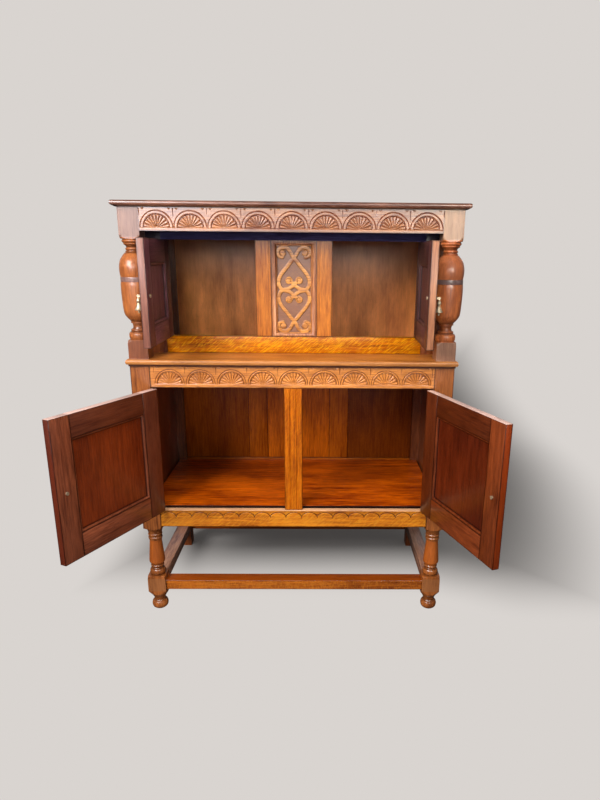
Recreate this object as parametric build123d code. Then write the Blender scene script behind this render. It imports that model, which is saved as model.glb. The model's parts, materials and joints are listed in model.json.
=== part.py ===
from build123d import *
import os

# A four-foot court cupboard in oak, in millimetres.
# X runs to the right, Y to the back, Z up; the front posts stand with their faces at Y = 0.

# Overall plan
half_width = 585.0
depth = 620.0
front_square = 70.0
back_square = 54.0
front_inner = half_width - front_square
back_inner = half_width - back_square
back_front = depth - back_square
post_x = half_width - front_square / 2
post_y = front_square / 2

# Heights
stretcher_bottom = 89.0
stretcher_height = 41.0
stretcher_top = stretcher_bottom + stretcher_height
base_rail_bottom = 370.0
base_rail_height = 71.0
base_rail_top = base_rail_bottom + base_rail_height
floor_stop = 9.0
floor_top = base_rail_top + floor_stop
carcass_top = 999.0
frieze_height = 78.0
frieze_bottom = carcass_top - frieze_height
shelf_thick = 25.0
shelf_top = carcass_top + shelf_thick
hood_top = 1536.0
hood_rail_height = 76.0
hood_rail_bottom = hood_top - hood_rail_height
cap_thick = 20.0
board_top = hood_top + cap_thick

# Rails, stretchers and joinery
rail_thick = 24.0
side_rail_thick = 22.0
side_rail_set = 2.0
tenon_length = 20.0
tenon_thick = 12.0
tenon_shoulder = 10.0
groove_depth = 8.0
front_stretcher_front = 8.0
front_stretcher_set = 7.0
front_stretcher_back = front_square - front_stretcher_set
side_stretcher_set = 4.0
side_stretcher_width = 55.0
side_stretcher_outer = half_width - side_stretcher_set
side_stretcher_inner = side_stretcher_outer - side_stretcher_width
back_stretcher_set = 2.0
back_stretcher_front = back_front + back_stretcher_set
back_stretcher_back = depth - back_stretcher_set
stretcher_line_drop = 7.0
line_width = 2.0
line_depth = 1.5

# Muntin between the lower doors
muntin_half = 33.5
muntin_tenon_half = 24.0
muntin_tenon_front = 5.0
muntin_tenon_back = 15.0
muntin_tenon_length = 18.0
muntin_groove_at = 12.0
muntin_groove_half = 1.6
strike_thick = 1.2
strike_front = 5.0
strike_back = 17.0
strike_rise = 195.0
strike_length = 50.0
strike_bottom = base_rail_top + strike_rise
strike_top = strike_bottom + strike_length

# Panels, floor and back
side_panel_set = 17.0
side_panel_inner = half_width - side_panel_set
side_panel_thick = 10.0
back_frame_set = 8.0
back_frame_front = back_front + back_frame_set
back_frame_thick = 20.0
back_panel_set = 5.0
back_panel_thick = 10.0
back_base_rise = 30.0
back_base_height = 60.0
back_head_height = 69.0
back_base_bottom = base_rail_bottom + back_base_rise
back_base_top = back_base_bottom + back_base_height
back_head_bottom = carcass_top - back_head_height
back_muntin_inner = 144.0
back_muntin_outer = 232.0
back_tenon = 12.0
floor_thick = 18.0
floor_front = 25.0
floor_tongue = 7.0

# Boards with worked edges
shelf_overhang = 9.0
shelf_nosing = 18.0
shelf_fillet_height = 7.0
shelf_fillet_set = 8.0
shelf_round = 7.0
cap_overhang = 18.0
cap_nosing = 20.0
cap_back_overhang = 2.0
cap_back = depth + cap_back_overhang
cap_fillet_height = 4.0
cap_fillet_set = 9.0
cap_round = 7.0
stub_half = 12.0
stub_length = 9.0

# Recessed upper stage
recess_front = 150.0
recess_back = recess_front + rail_thick
recess_base_height = 64.5
recess_head_height = 100.0
hanging_set = 2.0
hanging_width = 99.5
recess_base_top = shelf_top + recess_base_height
recess_head_bottom = hood_top - recess_head_height
hanging_outer = half_width - hanging_set
hanging_inner = hanging_outer - hanging_width
centre_outer = 141.5
centre_inner = 84.0
stile_line_in = 8.0
soffit_rise = 2.0
soffit_bottom = hood_rail_bottom + soffit_rise
soffit_thick = 12.0
soffit_tongue = 6.0
carved_set = 12.0
carved_front = recess_front + carved_set
carved_thick = 10.0
carved_moulding_side = 20.0
carved_moulding_base = 13.5
carved_moulding_head = 16.0
carved_moulding_fall = 9.0
upper_panel_inner = half_width - side_panel_set
upper_panel_thick = 12.0

# Doors
door_thick = 24.0
hinge_gap = 3.0
free_gap = 2.0
lower_bottom_gap = 2.5
lower_top_gap = 2.0
lower_door_bottom = base_rail_top + lower_bottom_gap
lower_door_top = frieze_bottom - lower_top_gap
lower_stile = 85.0
lower_door_base = 92.0
lower_door_head = 85.0
lower_handle_in = 36.0
lower_handle_rise = 232.5
lower_handle_height = lower_door_bottom + lower_handle_rise
lower_hinge_rise = 61.5
lower_hinge_drop = 66.0
lower_hinge_heights = (lower_door_bottom + lower_hinge_rise, lower_door_top - lower_hinge_drop)
upper_bottom_gap = 2.0
upper_top_gap = 2.5
upper_door_bottom = recess_base_top + upper_bottom_gap
upper_door_top = recess_head_bottom - upper_top_gap
upper_stile = 75.0
upper_door_base = 78.0
upper_door_head = 84.0
upper_handle_in = 31.0
upper_handle_rise = 165.5
upper_handle_height = upper_door_bottom + upper_handle_rise
upper_hinge_in = 55.5
upper_hinge_heights = (upper_door_bottom + upper_hinge_in, upper_door_top - upper_hinge_in)
moulding_width = 9.0
moulding_fall = 8.0
door_tenon_length = 25.0
door_tenon_front = 8.0
door_tenon_back = 16.0
door_panel_front = 6.0
door_panel_back = 15.0
door_panel_tongue = 6.0
fielding_width = 26.0
fielding_fall = 4.0

# Opening angles the doors stand at
lower_left_angle = 115.6
lower_right_angle = 108.8
upper_left_angle = 89.4
upper_right_angle = 88.4

# Butt hinges
hinge_length = 60.0
knuckle_radius = 4.2
knuckle_gap = 0.3
pin_radius = 2.5
running_clearance = 0.05
leaf_thick = 1.4
leaf_depth = 22.0
hinge_axis_out = 5.0
hinge_axis_x = hinge_gap / 2

# Drop handles
rose_radius = 14.0
rose_thick = 1.2
stud_radius = 3.0
nut_radius = 5.5
nut_height = 4.0
fork_half_width = 4.4
fork_slot_half = 2.2
fork_base = 6.0
fork_slot_floor = 9.2
drop_out = 14.0
eye_radius = 3.8
eye_half = 1.9
cross_pin_radius = 1.5
cross_pin_half = 5.2

# Turnings, as runs of (height, radius); each run is one smooth member
square_radius = 49.2

leg_turning = [
    [(0.0, 24.0), (6.0, 29.5), (17.0, 32.0), (28.0, 29.5), (33.0, 24.0)],
    [(33.0, 24.0), (40.0, 21.5), (57.0, 28.5), (72.0, 40.0), (84.0, square_radius)],
    [(84.0, square_radius), (140.0, square_radius)],
    [(140.0, square_radius), (147.0, 46.5), (151.0, 41.0)],
    [(151.0, 27.0), (156.0, 29.6), (163.0, 30.3), (170.0, 29.6), (175.0, 27.0)],
    [(175.0, 24.0), (178.0, 24.0)],
    [(178.0, 23.0), (181.0, 21.2), (184.0, 23.0)],
    [(184.0, 23.5), (189.0, 26.0), (194.0, 23.5)],
    [(194.0, 25.0), (197.0, 25.0)],
    [(197.0, 25.0), (204.0, 29.5), (212.0, 30.5), (245.0, 28.0), (285.0, 24.5), (303.0, 23.5)],
    [(303.0, 25.5), (306.0, 25.5)],
    [(306.0, 25.5), (311.0, 27.5), (316.0, 25.5)],
    [(316.0, 24.0), (320.0, 24.0)],
    [(320.0, 25.5), (325.0, 27.5), (330.0, 25.5)],
    [(330.0, 24.5), (333.0, 24.5)],
    [(333.0, 26.0), (342.0, 28.5), (352.0, 34.0), (360.0, square_radius)],
    [(360.0, square_radius), (carcass_top, square_radius)],
]

column_block_height = 66.0
pendant_height = 102.0
column_block_top = shelf_top + column_block_height
pendant_bottom = hood_top - pendant_height
block_shoulder = 10.0
pendant_shoulder = 12.0
bulb_clear_radius = 60.0

column_foot_turning = [
    [(shelf_top, square_radius), (column_block_top - block_shoulder, square_radius)],
    [(column_block_top - block_shoulder, square_radius), (column_block_top - 4.0, 46.0),
     (column_block_top, 41.0)],
]

column_shaft_turning = [
    [(0.0, 33.0), (2.0, 33.0)],
    [(2.0, 33.0), (8.0, 35.4), (15.0, 36.0), (22.0, 35.2), (27.0, 32.0)],
    [(27.0, 28.0), (30.0, 28.0)],
    [(30.0, 27.0), (34.0, 28.4), (38.0, 26.0)],
    [(38.0, 22.0), (46.0, 20.0), (56.0, 22.0)],
    [(56.0, 27.0), (61.0, 27.0)],
    [(61.0, 25.0), (69.0, 32.0), (85.0, 43.5), (103.0, 47.6), (138.0, 50.0),
     (165.0, 51.0), (189.0, 51.0), (201.0, 50.0)],
    [(201.0, 47.0), (218.0, 47.0)],
    [(218.0, 49.0), (233.0, 51.2), (251.0, 51.6), (266.0, 49.0), (276.0, 45.6),
     (285.0, 40.0), (293.0, 34.0), (299.0, 28.0)],
    [(299.0, 24.0), (302.5, 25.4), (306.0, 23.5)],
    [(306.0, 21.5), (314.0, 23.5), (322.0, 27.5), (327.0, 32.0)],
    [(327.0, 33.5), (333.5, 36.2), (340.0, 33.5)],
    [(340.0, 33.0), (344.0, 33.0)],
]

column_head_turning = [
    [(pendant_bottom, 41.0), (pendant_bottom + 4.0, 45.0),
     (pendant_bottom + pendant_shoulder, square_radius)],
    [(pendant_bottom + pendant_shoulder, square_radius), (hood_top, square_radius)],
]

mount_turning = [
    [(-door_thick - nut_height, nut_radius), (-door_thick, nut_radius)],
    [(-door_thick, stud_radius), (0.0, stud_radius)],
    [(0.0, rose_radius), (rose_thick, rose_radius)],
    [(rose_thick, rose_radius), (2.4, 11.5), (3.2, 6.5)],
    [(3.2, 5.0), (fork_base, 5.0)],
]

drop_turning = [
    [(-56.0, 0.0), (-54.8, 2.4), (-52.4, 3.6), (-50.0, 3.2), (-48.0, 2.0)],
    [(-48.0, 2.0), (-46.4, 2.0)],
    [(-46.4, 5.0), (-45.0, 7.6), (-42.6, 8.4), (-40.2, 7.6)],
    [(-40.2, 7.6), (-33.0, 5.2), (-26.0, 3.2)],
    [(-26.0, 4.2), (-20.0, 5.8), (-14.0, 4.8), (-8.0, 2.0)],
    [(-8.0, 2.0), (-2.6, 2.0)],
]


def block(x0, x1, y0, y1, z0, z1):
    """A square piece between two opposite corners."""
    middle = Pos((x0 + x1) / 2, (y0 + y1) / 2, (z0 + z1) / 2)
    return middle * Box(x1 - x0, y1 - y0, z1 - z0)


def upright_face(x0, x1, z0, z1, y):
    """A rectangle standing across the depth at one place."""
    middle = Plane(origin=((x0 + x1) / 2, y, (z0 + z1) / 2), x_dir=(1, 0, 0), z_dir=(0, -1, 0))
    return middle * Rectangle(x1 - x0, z1 - z0)


def tapered(x0, x1, z0, z1, y_wide, y_narrow, draw_in):
    """A block with four sloping sides, drawn in evenly from its wide face to its narrow face."""
    wide = upright_face(x0, x1, z0, z1, y_wide)
    narrow = upright_face(x0 + draw_in, x1 - draw_in, z0 + draw_in, z1 - draw_in, y_narrow)
    return loft([wide, narrow], ruled=True)


def turned(runs):
    """A turning on the Z axis from its runs of heights and radii."""
    edges = []
    here = (0.0, runs[0][0][0])
    for run in runs:
        points = [(radius, height) for height, radius in run]
        if points[0] != here:
            edges.append(Line(here, points[0]))
        edges.append(Spline(*points) if len(points) > 2 else Line(*points))
        here = points[-1]
    top = (0.0, here[1])
    edges.append(Line(here, top))
    edges.append(Line(top, (0.0, runs[0][0][0])))
    return revolve(Plane.XZ * make_face(edges), Axis.Z)


def stretched(runs, start, length):
    """The shaft runs of a column, moved to their start and stretched to the real length."""
    last_height, last_radius = runs[-1][-1]
    share = length / last_height
    return [[(start + height * share, radius) for height, radius in run] for run in runs]


def other_side(piece):
    """The matching piece of the left side."""
    return mirror(piece, about=Plane.YZ)


def both(piece):
    """A right piece and its left partner, for cutting into something that meets both."""
    return [piece, other_side(piece)]


def cut(piece, mates):
    """The piece with the seats of its mates cut out of it."""
    for mate in mates:
        piece = piece - mate
    return piece


def end_tenon(x0, y, z0, z1):
    """The tenon on the right end of a rail that lies across the front or the back."""
    front = y - tenon_thick / 2
    back = y + tenon_thick / 2
    return block(x0, x0 + tenon_length, front, back, z0 + tenon_shoulder, z1 - tenon_shoulder)


def cross_rail(half_length, y0, y1, z0, z1):
    """A rail across the piece with a tenon at each end."""
    tenon = end_tenon(half_length, (y0 + y1) / 2, z0, z1)
    return block(-half_length, half_length, y0, y1, z0, z1) + tenon + other_side(tenon)


def side_rail(x0, x1, y0, y1, z0, z1):
    """A rail along the right side with a tenon at each end."""
    middle = (x0 + x1) / 2
    half = tenon_thick / 2
    tenons = block(middle - half, middle + half, y0 - tenon_length, y1 + tenon_length,
                   z0 + tenon_shoulder, z1 - tenon_shoulder)
    return block(x0, x1, y0, y1, z0, z1) + tenons


# Feet, posts and columns

def front_leg():
    """The right front leg: ball foot, stretcher block, vase turning and the long square post."""
    square = block(front_inner, half_width, 0, front_square, 0, carcass_top)
    turning = Pos(post_x, post_y, 0) * turned(leg_turning)
    return (square & turning) + stub(post_x, post_y, carcass_top, stub_length)


def back_leg():
    """The right back leg, one plain square from the ground to the hood."""
    square = block(back_inner, half_width, back_front, depth, 0, hood_top)
    middle = back_square / 2
    return square + stub(half_width - middle, depth - middle, hood_top, stub_length)


def stub(x, y, z, length):
    """A short square tenon standing on an end."""
    return block(x - stub_half, x + stub_half, y - stub_half, y + stub_half, z, z + length)


def column():
    """The right cup-and-cover column between its square base block and pendant block."""
    foot = block(front_inner, half_width, 0, front_square, shelf_top, column_block_top)
    head = block(front_inner, half_width, 0, front_square, pendant_bottom, hood_top)
    bulb_height = pendant_bottom - column_block_top
    bulb_middle = (pendant_bottom + column_block_top) / 2
    bulb = Pos(post_x, post_y, bulb_middle) * Cylinder(bulb_clear_radius, bulb_height)
    members = column_foot_turning + stretched(column_shaft_turning, column_block_top, bulb_height)
    turning = Pos(post_x, post_y, 0) * turned(members + column_head_turning)
    shaft = turning & (foot + bulb + head)
    ends = stub(post_x, post_y, shelf_top - stub_length, stub_length)
    return shaft + ends + stub(post_x, post_y, hood_top, stub_length)


# Stretchers

def front_stretcher():
    """The broad front stretcher with a scratched line under its top edge."""
    face = front_stretcher_front
    rail = cross_rail(front_inner, face, front_stretcher_back, stretcher_bottom, stretcher_top)
    line_top = stretcher_top - stretcher_line_drop
    return rail - block(-front_inner, front_inner, face, face + line_depth, line_top - line_width, line_top)


def side_stretcher():
    """The right side stretcher, laid flat between the front and back legs."""
    return side_rail(side_stretcher_inner, side_stretcher_outer, front_square, back_front,
                     stretcher_bottom, stretcher_top)


def back_stretcher():
    """The back stretcher between the back legs."""
    return cross_rail(back_inner, back_stretcher_front, back_stretcher_back, stretcher_bottom, stretcher_top)


# Lower carcass

def carcass_side_rails():
    """The top and bottom rails of the right side, with a space for the panel between them."""
    outer = half_width - side_rail_set
    inner = outer - side_rail_thick
    low = side_rail(inner, outer, front_square, back_front, base_rail_bottom, base_rail_top)
    high = side_rail(inner, outer, front_square, back_front, frieze_bottom, carcass_top)
    return [low, high]


def carcass_side_panel():
    """The upright boarded panel of the right side, let into grooves on all four edges."""
    return block(side_panel_inner, side_panel_inner + side_panel_thick,
                 front_square - groove_depth, back_front + groove_depth,
                 base_rail_top - groove_depth, frieze_bottom + groove_depth)


def centre_muntin():
    """The upright between the lower doors, with two run grooves and a tenon at each end."""
    body = block(-muntin_half, muntin_half, 0, rail_thick, base_rail_top, frieze_bottom)
    body = body + block(-muntin_tenon_half, muntin_tenon_half, muntin_tenon_front, muntin_tenon_back,
                        base_rail_top - muntin_tenon_length, frieze_bottom + muntin_tenon_length)
    groove = block(muntin_groove_at - muntin_groove_half, muntin_groove_at + muntin_groove_half,
                   0, line_depth, base_rail_top, frieze_bottom)
    return cut(body, both(groove))


def door_strike():
    """The right brass strike plate, let in flush with the edge of the muntin."""
    inner = muntin_half - strike_thick
    return block(inner, muntin_half, strike_front, strike_back, strike_bottom, strike_top)


def cupboard_floor():
    """The floor boards: the lower half is tongued into the rails, the upper half stops the doors."""
    side = half_width - side_rail_set - side_rail_thick
    upper = block(-side, side, floor_front, back_frame_front, base_rail_top, floor_top)
    reach = side + floor_tongue
    lower = block(-reach, reach, rail_thick - floor_tongue, back_frame_front + floor_tongue,
                  floor_top - floor_thick, base_rail_top)
    front_post = block(front_inner, half_width, 0, front_square, base_rail_bottom, floor_top)
    back_post = block(back_inner, half_width, back_front, depth, base_rail_bottom, floor_top)
    return cut(upper + lower, both(front_post) + both(back_post))


def back_muntin():
    """The right muntin of the lower back."""
    back = back_frame_front + back_frame_thick
    middle = (back_frame_front + back) / 2
    body = block(back_muntin_inner, back_muntin_outer, back_frame_front, back,
                 back_base_top, back_head_bottom)
    tenon = block(back_muntin_inner + back_tenon, back_muntin_outer - back_tenon,
                  middle - back_tenon / 2, middle + back_tenon / 2,
                  back_base_top - back_tenon, back_head_bottom + back_tenon)
    return body + tenon


def back_frame():
    """The two rails and two muntins that hold the lower back panels."""
    back = back_frame_front + back_frame_thick
    muntins = both(back_muntin())
    low = cut(cross_rail(back_inner, back_frame_front, back, back_base_bottom, back_base_top), muntins)
    high = cut(cross_rail(back_inner, back_frame_front, back, back_head_bottom, carcass_top), muntins)
    return [low, high] + muntins


def back_panels():
    """The three thin panels of the lower back."""
    front = back_frame_front + back_panel_set
    back = front + back_panel_thick
    low = back_base_top - groove_depth
    high = back_head_bottom + groove_depth
    inner = back_muntin_inner + groove_depth
    outer = block(back_muntin_outer - groove_depth, back_inner + groove_depth, front, back, low, high)
    return [block(-inner, inner, front, back, low, high)] + both(outer)


# Boards

def rounded_slab(half, front, back, z0, z1, radius):
    """A board whose front and side edges are rounded over."""
    slab = block(-half, half, front, back, z0, z1)
    level = slab.edges().filter_by(Plane.XY)
    worked = [edge for edge in level if edge.center().Y < back - radius]
    return fillet(worked, radius)


def shelf_board():
    """The board over the lower carcass: a thumb edge above a small fillet, notched for the back legs."""
    half = half_width + shelf_overhang
    step = carcass_top + shelf_fillet_height
    nose = rounded_slab(half, -shelf_nosing, depth, step, shelf_top, shelf_round)
    inset = half - shelf_fillet_set
    fillet_strip = block(-inset, inset, shelf_fillet_set - shelf_nosing, depth, carcass_top, step)
    notch = block(back_inner, half + shelf_overhang, back_front, depth, carcass_top, shelf_top)
    return cut(nose + fillet_strip, both(notch))


def cap_board():
    """The top board: a thumb edge above a small fillet."""
    half = half_width + cap_overhang
    step = hood_top + cap_fillet_height
    nose = rounded_slab(half, -cap_nosing, cap_back, step, board_top, cap_round)
    inset = half - cap_fillet_set
    return nose + block(-inset, inset, cap_fillet_set - cap_nosing, cap_back, hood_top, step)


# Hood and recessed stage

def hood_side_rail():
    """The right rail of the hood, from the pendant block to the back leg."""
    outer = half_width - side_rail_set
    return side_rail(outer - side_rail_thick, outer, front_square, back_front, hood_rail_bottom, hood_top)


def soffit_board():
    """The board that closes the hood from below, tongued at front and back."""
    side = half_width - side_rail_set - side_rail_thick
    board = block(-side, side, rail_thick - soffit_tongue, recess_front + soffit_tongue,
                  soffit_bottom, soffit_bottom + soffit_thick)
    pendant = block(front_inner, half_width, 0, front_square, soffit_bottom, hood_top)
    return cut(board, both(pendant))


def hanging_stile():
    """The right outer stile of the recessed stage, which carries a door."""
    body = block(hanging_inner, hanging_outer, recess_front, recess_back, shelf_top, hood_top)
    middle = (recess_front + recess_back) / 2
    tenon = block(hanging_inner + tenon_length, hanging_outer - 2 * tenon_thick,
                  middle - tenon_thick / 2, middle + tenon_thick / 2, shelf_top - stub_length, shelf_top)
    return body + tenon


def centre_stile():
    """The right stile beside the carved panel."""
    body = block(centre_inner, centre_outer, recess_front, recess_back, recess_base_top, recess_head_bottom)
    middle = (recess_front + recess_back) / 2
    tenon = block(centre_inner + tenon_thick, centre_outer - tenon_thick,
                  middle - tenon_thick / 2, middle + tenon_thick / 2,
                  recess_base_top - tenon_shoulder, recess_head_bottom + tenon_shoulder)
    line_from = centre_inner + stile_line_in
    line = block(line_from, line_from + line_width, recess_front, recess_front + line_depth,
                 recess_base_top, recess_head_bottom)
    return body + tenon - line


def carved_panel():
    """The centre panel of the recessed stage, let into grooves behind its moulding."""
    reach = centre_inner + groove_depth
    return block(-reach, reach, carved_front, carved_front + carved_thick,
                 recess_base_top - groove_depth, recess_head_bottom + groove_depth)


def panel_mouldings():
    """Four planted mouldings, mitred round the carved panel and sloping down to it."""
    sight = centre_inner - carved_moulding_side
    low = recess_base_top + carved_moulding_base
    high = recess_head_bottom - carved_moulding_head
    outer = block(-centre_inner, centre_inner, recess_front, carved_front,
                  recess_base_top, recess_head_bottom)
    wide = upright_face(-centre_inner, centre_inner, recess_base_top, recess_head_bottom, recess_front)
    narrow = upright_face(-sight, sight, low, high, recess_front + carved_moulding_fall)
    slope = loft([wide, narrow], ruled=True)
    well = block(-sight, sight, recess_front, carved_front, low, high)
    ring = outer - slope - well
    corners = [(-centre_inner, recess_base_top), (centre_inner, recess_base_top),
               (centre_inner, recess_head_bottom), (-centre_inner, recess_head_bottom)]
    sights = [(-sight, low), (sight, low), (sight, high), (-sight, high)]
    strips = []
    for first in range(4):
        second = (first + 1) % 4
        outline = [corners[first], corners[second], sights[second], sights[first]]
        points = [(x, recess_front, z) for x, z in outline]
        wedge = extrude(make_face(Polyline(*points, close=True)), carved_front - recess_front, dir=(0, 1, 0))
        strips.append(ring & wedge)
    return strips


def upper_side_panel():
    """The plain right side of the recessed stage."""
    return block(upper_panel_inner, upper_panel_inner + upper_panel_thick,
                 recess_back - groove_depth, back_front + groove_depth,
                 shelf_top - groove_depth, hood_rail_bottom + groove_depth)


def upper_back_boards():
    """Two upright boards that close the upper back."""
    front = back_frame_front + back_panel_set
    board = block(0, back_inner + groove_depth, front, front + back_panel_thick,
                  shelf_top - groove_depth, hood_rail_bottom + groove_depth)
    return both(board)


# Doors, worked with the hinge edge at X = 0, the outer face at Y = 0 and the free edge to the left

def door_panel(width, bottom, top, stile, base, head):
    """A door panel: tongued all round, plain inside and fielded outside."""
    left = stile - door_panel_tongue - width
    right = door_panel_tongue - stile
    low = bottom + base - door_panel_tongue
    high = top - head + door_panel_tongue
    step = door_panel_front + fielding_fall
    plate = block(left, right, step, door_panel_back, low, high)
    tongue = door_panel_tongue
    field = tapered(left + tongue, right - tongue, low + tongue, high - tongue,
                    step, door_panel_front, fielding_width)
    return plate + field


def door_tenons(rail, width, stile, z0, z1):
    """A door rail with its two tenons."""
    reach = stile - door_tenon_length
    return rail + block(reach - width, -reach, door_tenon_front, door_tenon_back, z0, z1)


def door_frame(width, bottom, top, stile, base, head):
    """Two stiles and two rails with the inner edges of both faces moulded."""
    sight_low = bottom + base
    sight_high = top - head
    body = block(-width, 0, 0, door_thick, bottom, top)
    body = body - block(stile - width, -stile, 0, door_thick, sight_low, sight_high)
    flat = moulding_width
    for face, deep in ((0, moulding_fall), (door_thick, door_thick - moulding_fall)):
        body = body - tapered(stile - flat - width, flat - stile, sight_low - flat, sight_high + flat,
                              face, deep, flat)
    low = body & block(stile - width, -stile, 0, door_thick, bottom, sight_low)
    high = body & block(stile - width, -stile, 0, door_thick, sight_high, top)
    shoulder = tenon_shoulder + moulding_width
    low = door_tenons(low, width, stile, bottom + tenon_shoulder, sight_low - shoulder)
    high = door_tenons(high, width, stile, sight_high + shoulder, top - tenon_shoulder)
    free = cut(body & block(-width, stile - width, 0, door_thick, bottom, top), [low, high])
    hung = cut(body & block(-stile, 0, 0, door_thick, bottom, top), [low, high])
    return [free, hung, low, high]


def knuckle(z0, z1):
    """One round knuckle of a hinge."""
    return Pos(hinge_axis_x, -hinge_axis_out, (z0 + z1) / 2) * Cylinder(knuckle_radius, z1 - z0)


def door_leaf(height):
    """The moving leaf of a hinge with its middle knuckle."""
    low = height - hinge_length / 2
    third = hinge_length / 3
    z0 = low + third + knuckle_gap / 2
    z1 = low + 2 * third - knuckle_gap / 2
    leaf = block(0, leaf_thick, 0, leaf_depth, low, low + hinge_length)
    leaf = leaf + block(0, leaf_thick, -hinge_axis_out, 0, z0, z1) + knuckle(z0, z1)
    bore = Cylinder(pin_radius + running_clearance, hinge_length)
    return leaf - Pos(hinge_axis_x, -hinge_axis_out, height) * bore


def fixed_leaf(height):
    """The fixed leaf of a hinge with its two outer knuckles and the pin."""
    low = height - hinge_length / 2
    third = hinge_length / 3
    inner = hinge_gap - leaf_thick
    leaf = block(inner, hinge_gap, 0, leaf_depth, low, low + hinge_length)
    for z0 in (low, low + 2 * third):
        near = z0 + (0 if z0 == low else knuckle_gap / 2)
        far = z0 + third - (knuckle_gap / 2 if z0 == low else 0)
        leaf = leaf + block(inner, hinge_gap, -hinge_axis_out, 0, near, far) + knuckle(near, far)
    return leaf + Pos(hinge_axis_x, -hinge_axis_out, height) * Cylinder(pin_radius, hinge_length)


def cross_cylinder(radius, x0, x1, y):
    """A round bar lying across the door."""
    return Pos((x0 + x1) / 2, y, 0) * Rot(0, 90, 0) * Cylinder(radius, x1 - x0)


def handle_mount():
    """A rose, its stud and nut through the stile, and the fork with its cross pin."""
    body = Rot(90, 0, 0) * turned(mount_turning)
    fork = block(-fork_half_width, fork_half_width, -drop_out, -fork_base, -eye_radius, eye_radius)
    fork = fork + cross_cylinder(eye_radius, -fork_half_width, fork_half_width, -drop_out)
    reach = drop_out + 2 * eye_radius
    slot = block(-fork_slot_half, fork_slot_half, -reach, -fork_slot_floor, -reach, reach)
    return body + (fork - slot) + cross_cylinder(cross_pin_radius, -cross_pin_half, cross_pin_half, -drop_out)


def handle_drop():
    """The hanging drop: an eye on the cross pin, a small pear, a bell and a finial."""
    body = Pos(0, -drop_out, 0) * turned(drop_turning)
    body = body + cross_cylinder(eye_radius, -eye_half, eye_half, -drop_out)
    bore = cross_cylinder(cross_pin_radius + running_clearance, -cross_pin_half, cross_pin_half, -drop_out)
    return body - bore


def door_set(width, bottom, top, stile, base, head, handle_in, handle_height, hinge_heights):
    """Every moving piece of one door, by name."""
    panel = door_panel(width, bottom, top, stile, base, head)
    hang = Pos(handle_in - width, 0, handle_height)
    mount = hang * handle_mount()
    frame = [cut(member, [panel, mount]) for member in door_frame(width, bottom, top, stile, base, head)]
    return {
        "frame": frame,
        "panel": [panel],
        "hinge_leaves": [door_leaf(height) for height in hinge_heights],
        "handle_mount": [mount],
        "handle_drop": [hang * handle_drop()],
    }


def hang_door(pieces, prefix, door, hinge_edge, face, angle, side):
    """Set a door in its opening on one side and swing it to its angle."""
    axis = (hinge_edge + hinge_axis_x, face - hinge_axis_out)
    swing = Pos(axis[0], axis[1], 0) * Rot(0, 0, angle) * Pos(hinge_edge - axis[0], face - axis[1], 0)
    for name, solids in door.items():
        placed = [swing * solid for solid in solids]
        pieces[f"{prefix}_{name}"] = placed if side == "right" else [other_side(solid) for solid in placed]


# Whole piece

lower_door_width = front_inner - hinge_gap - muntin_half - free_gap
upper_door_width = hanging_inner - hinge_gap - centre_outer - free_gap
lower_hinge_edge = front_inner - hinge_gap
upper_hinge_edge = hanging_inner - hinge_gap


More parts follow.
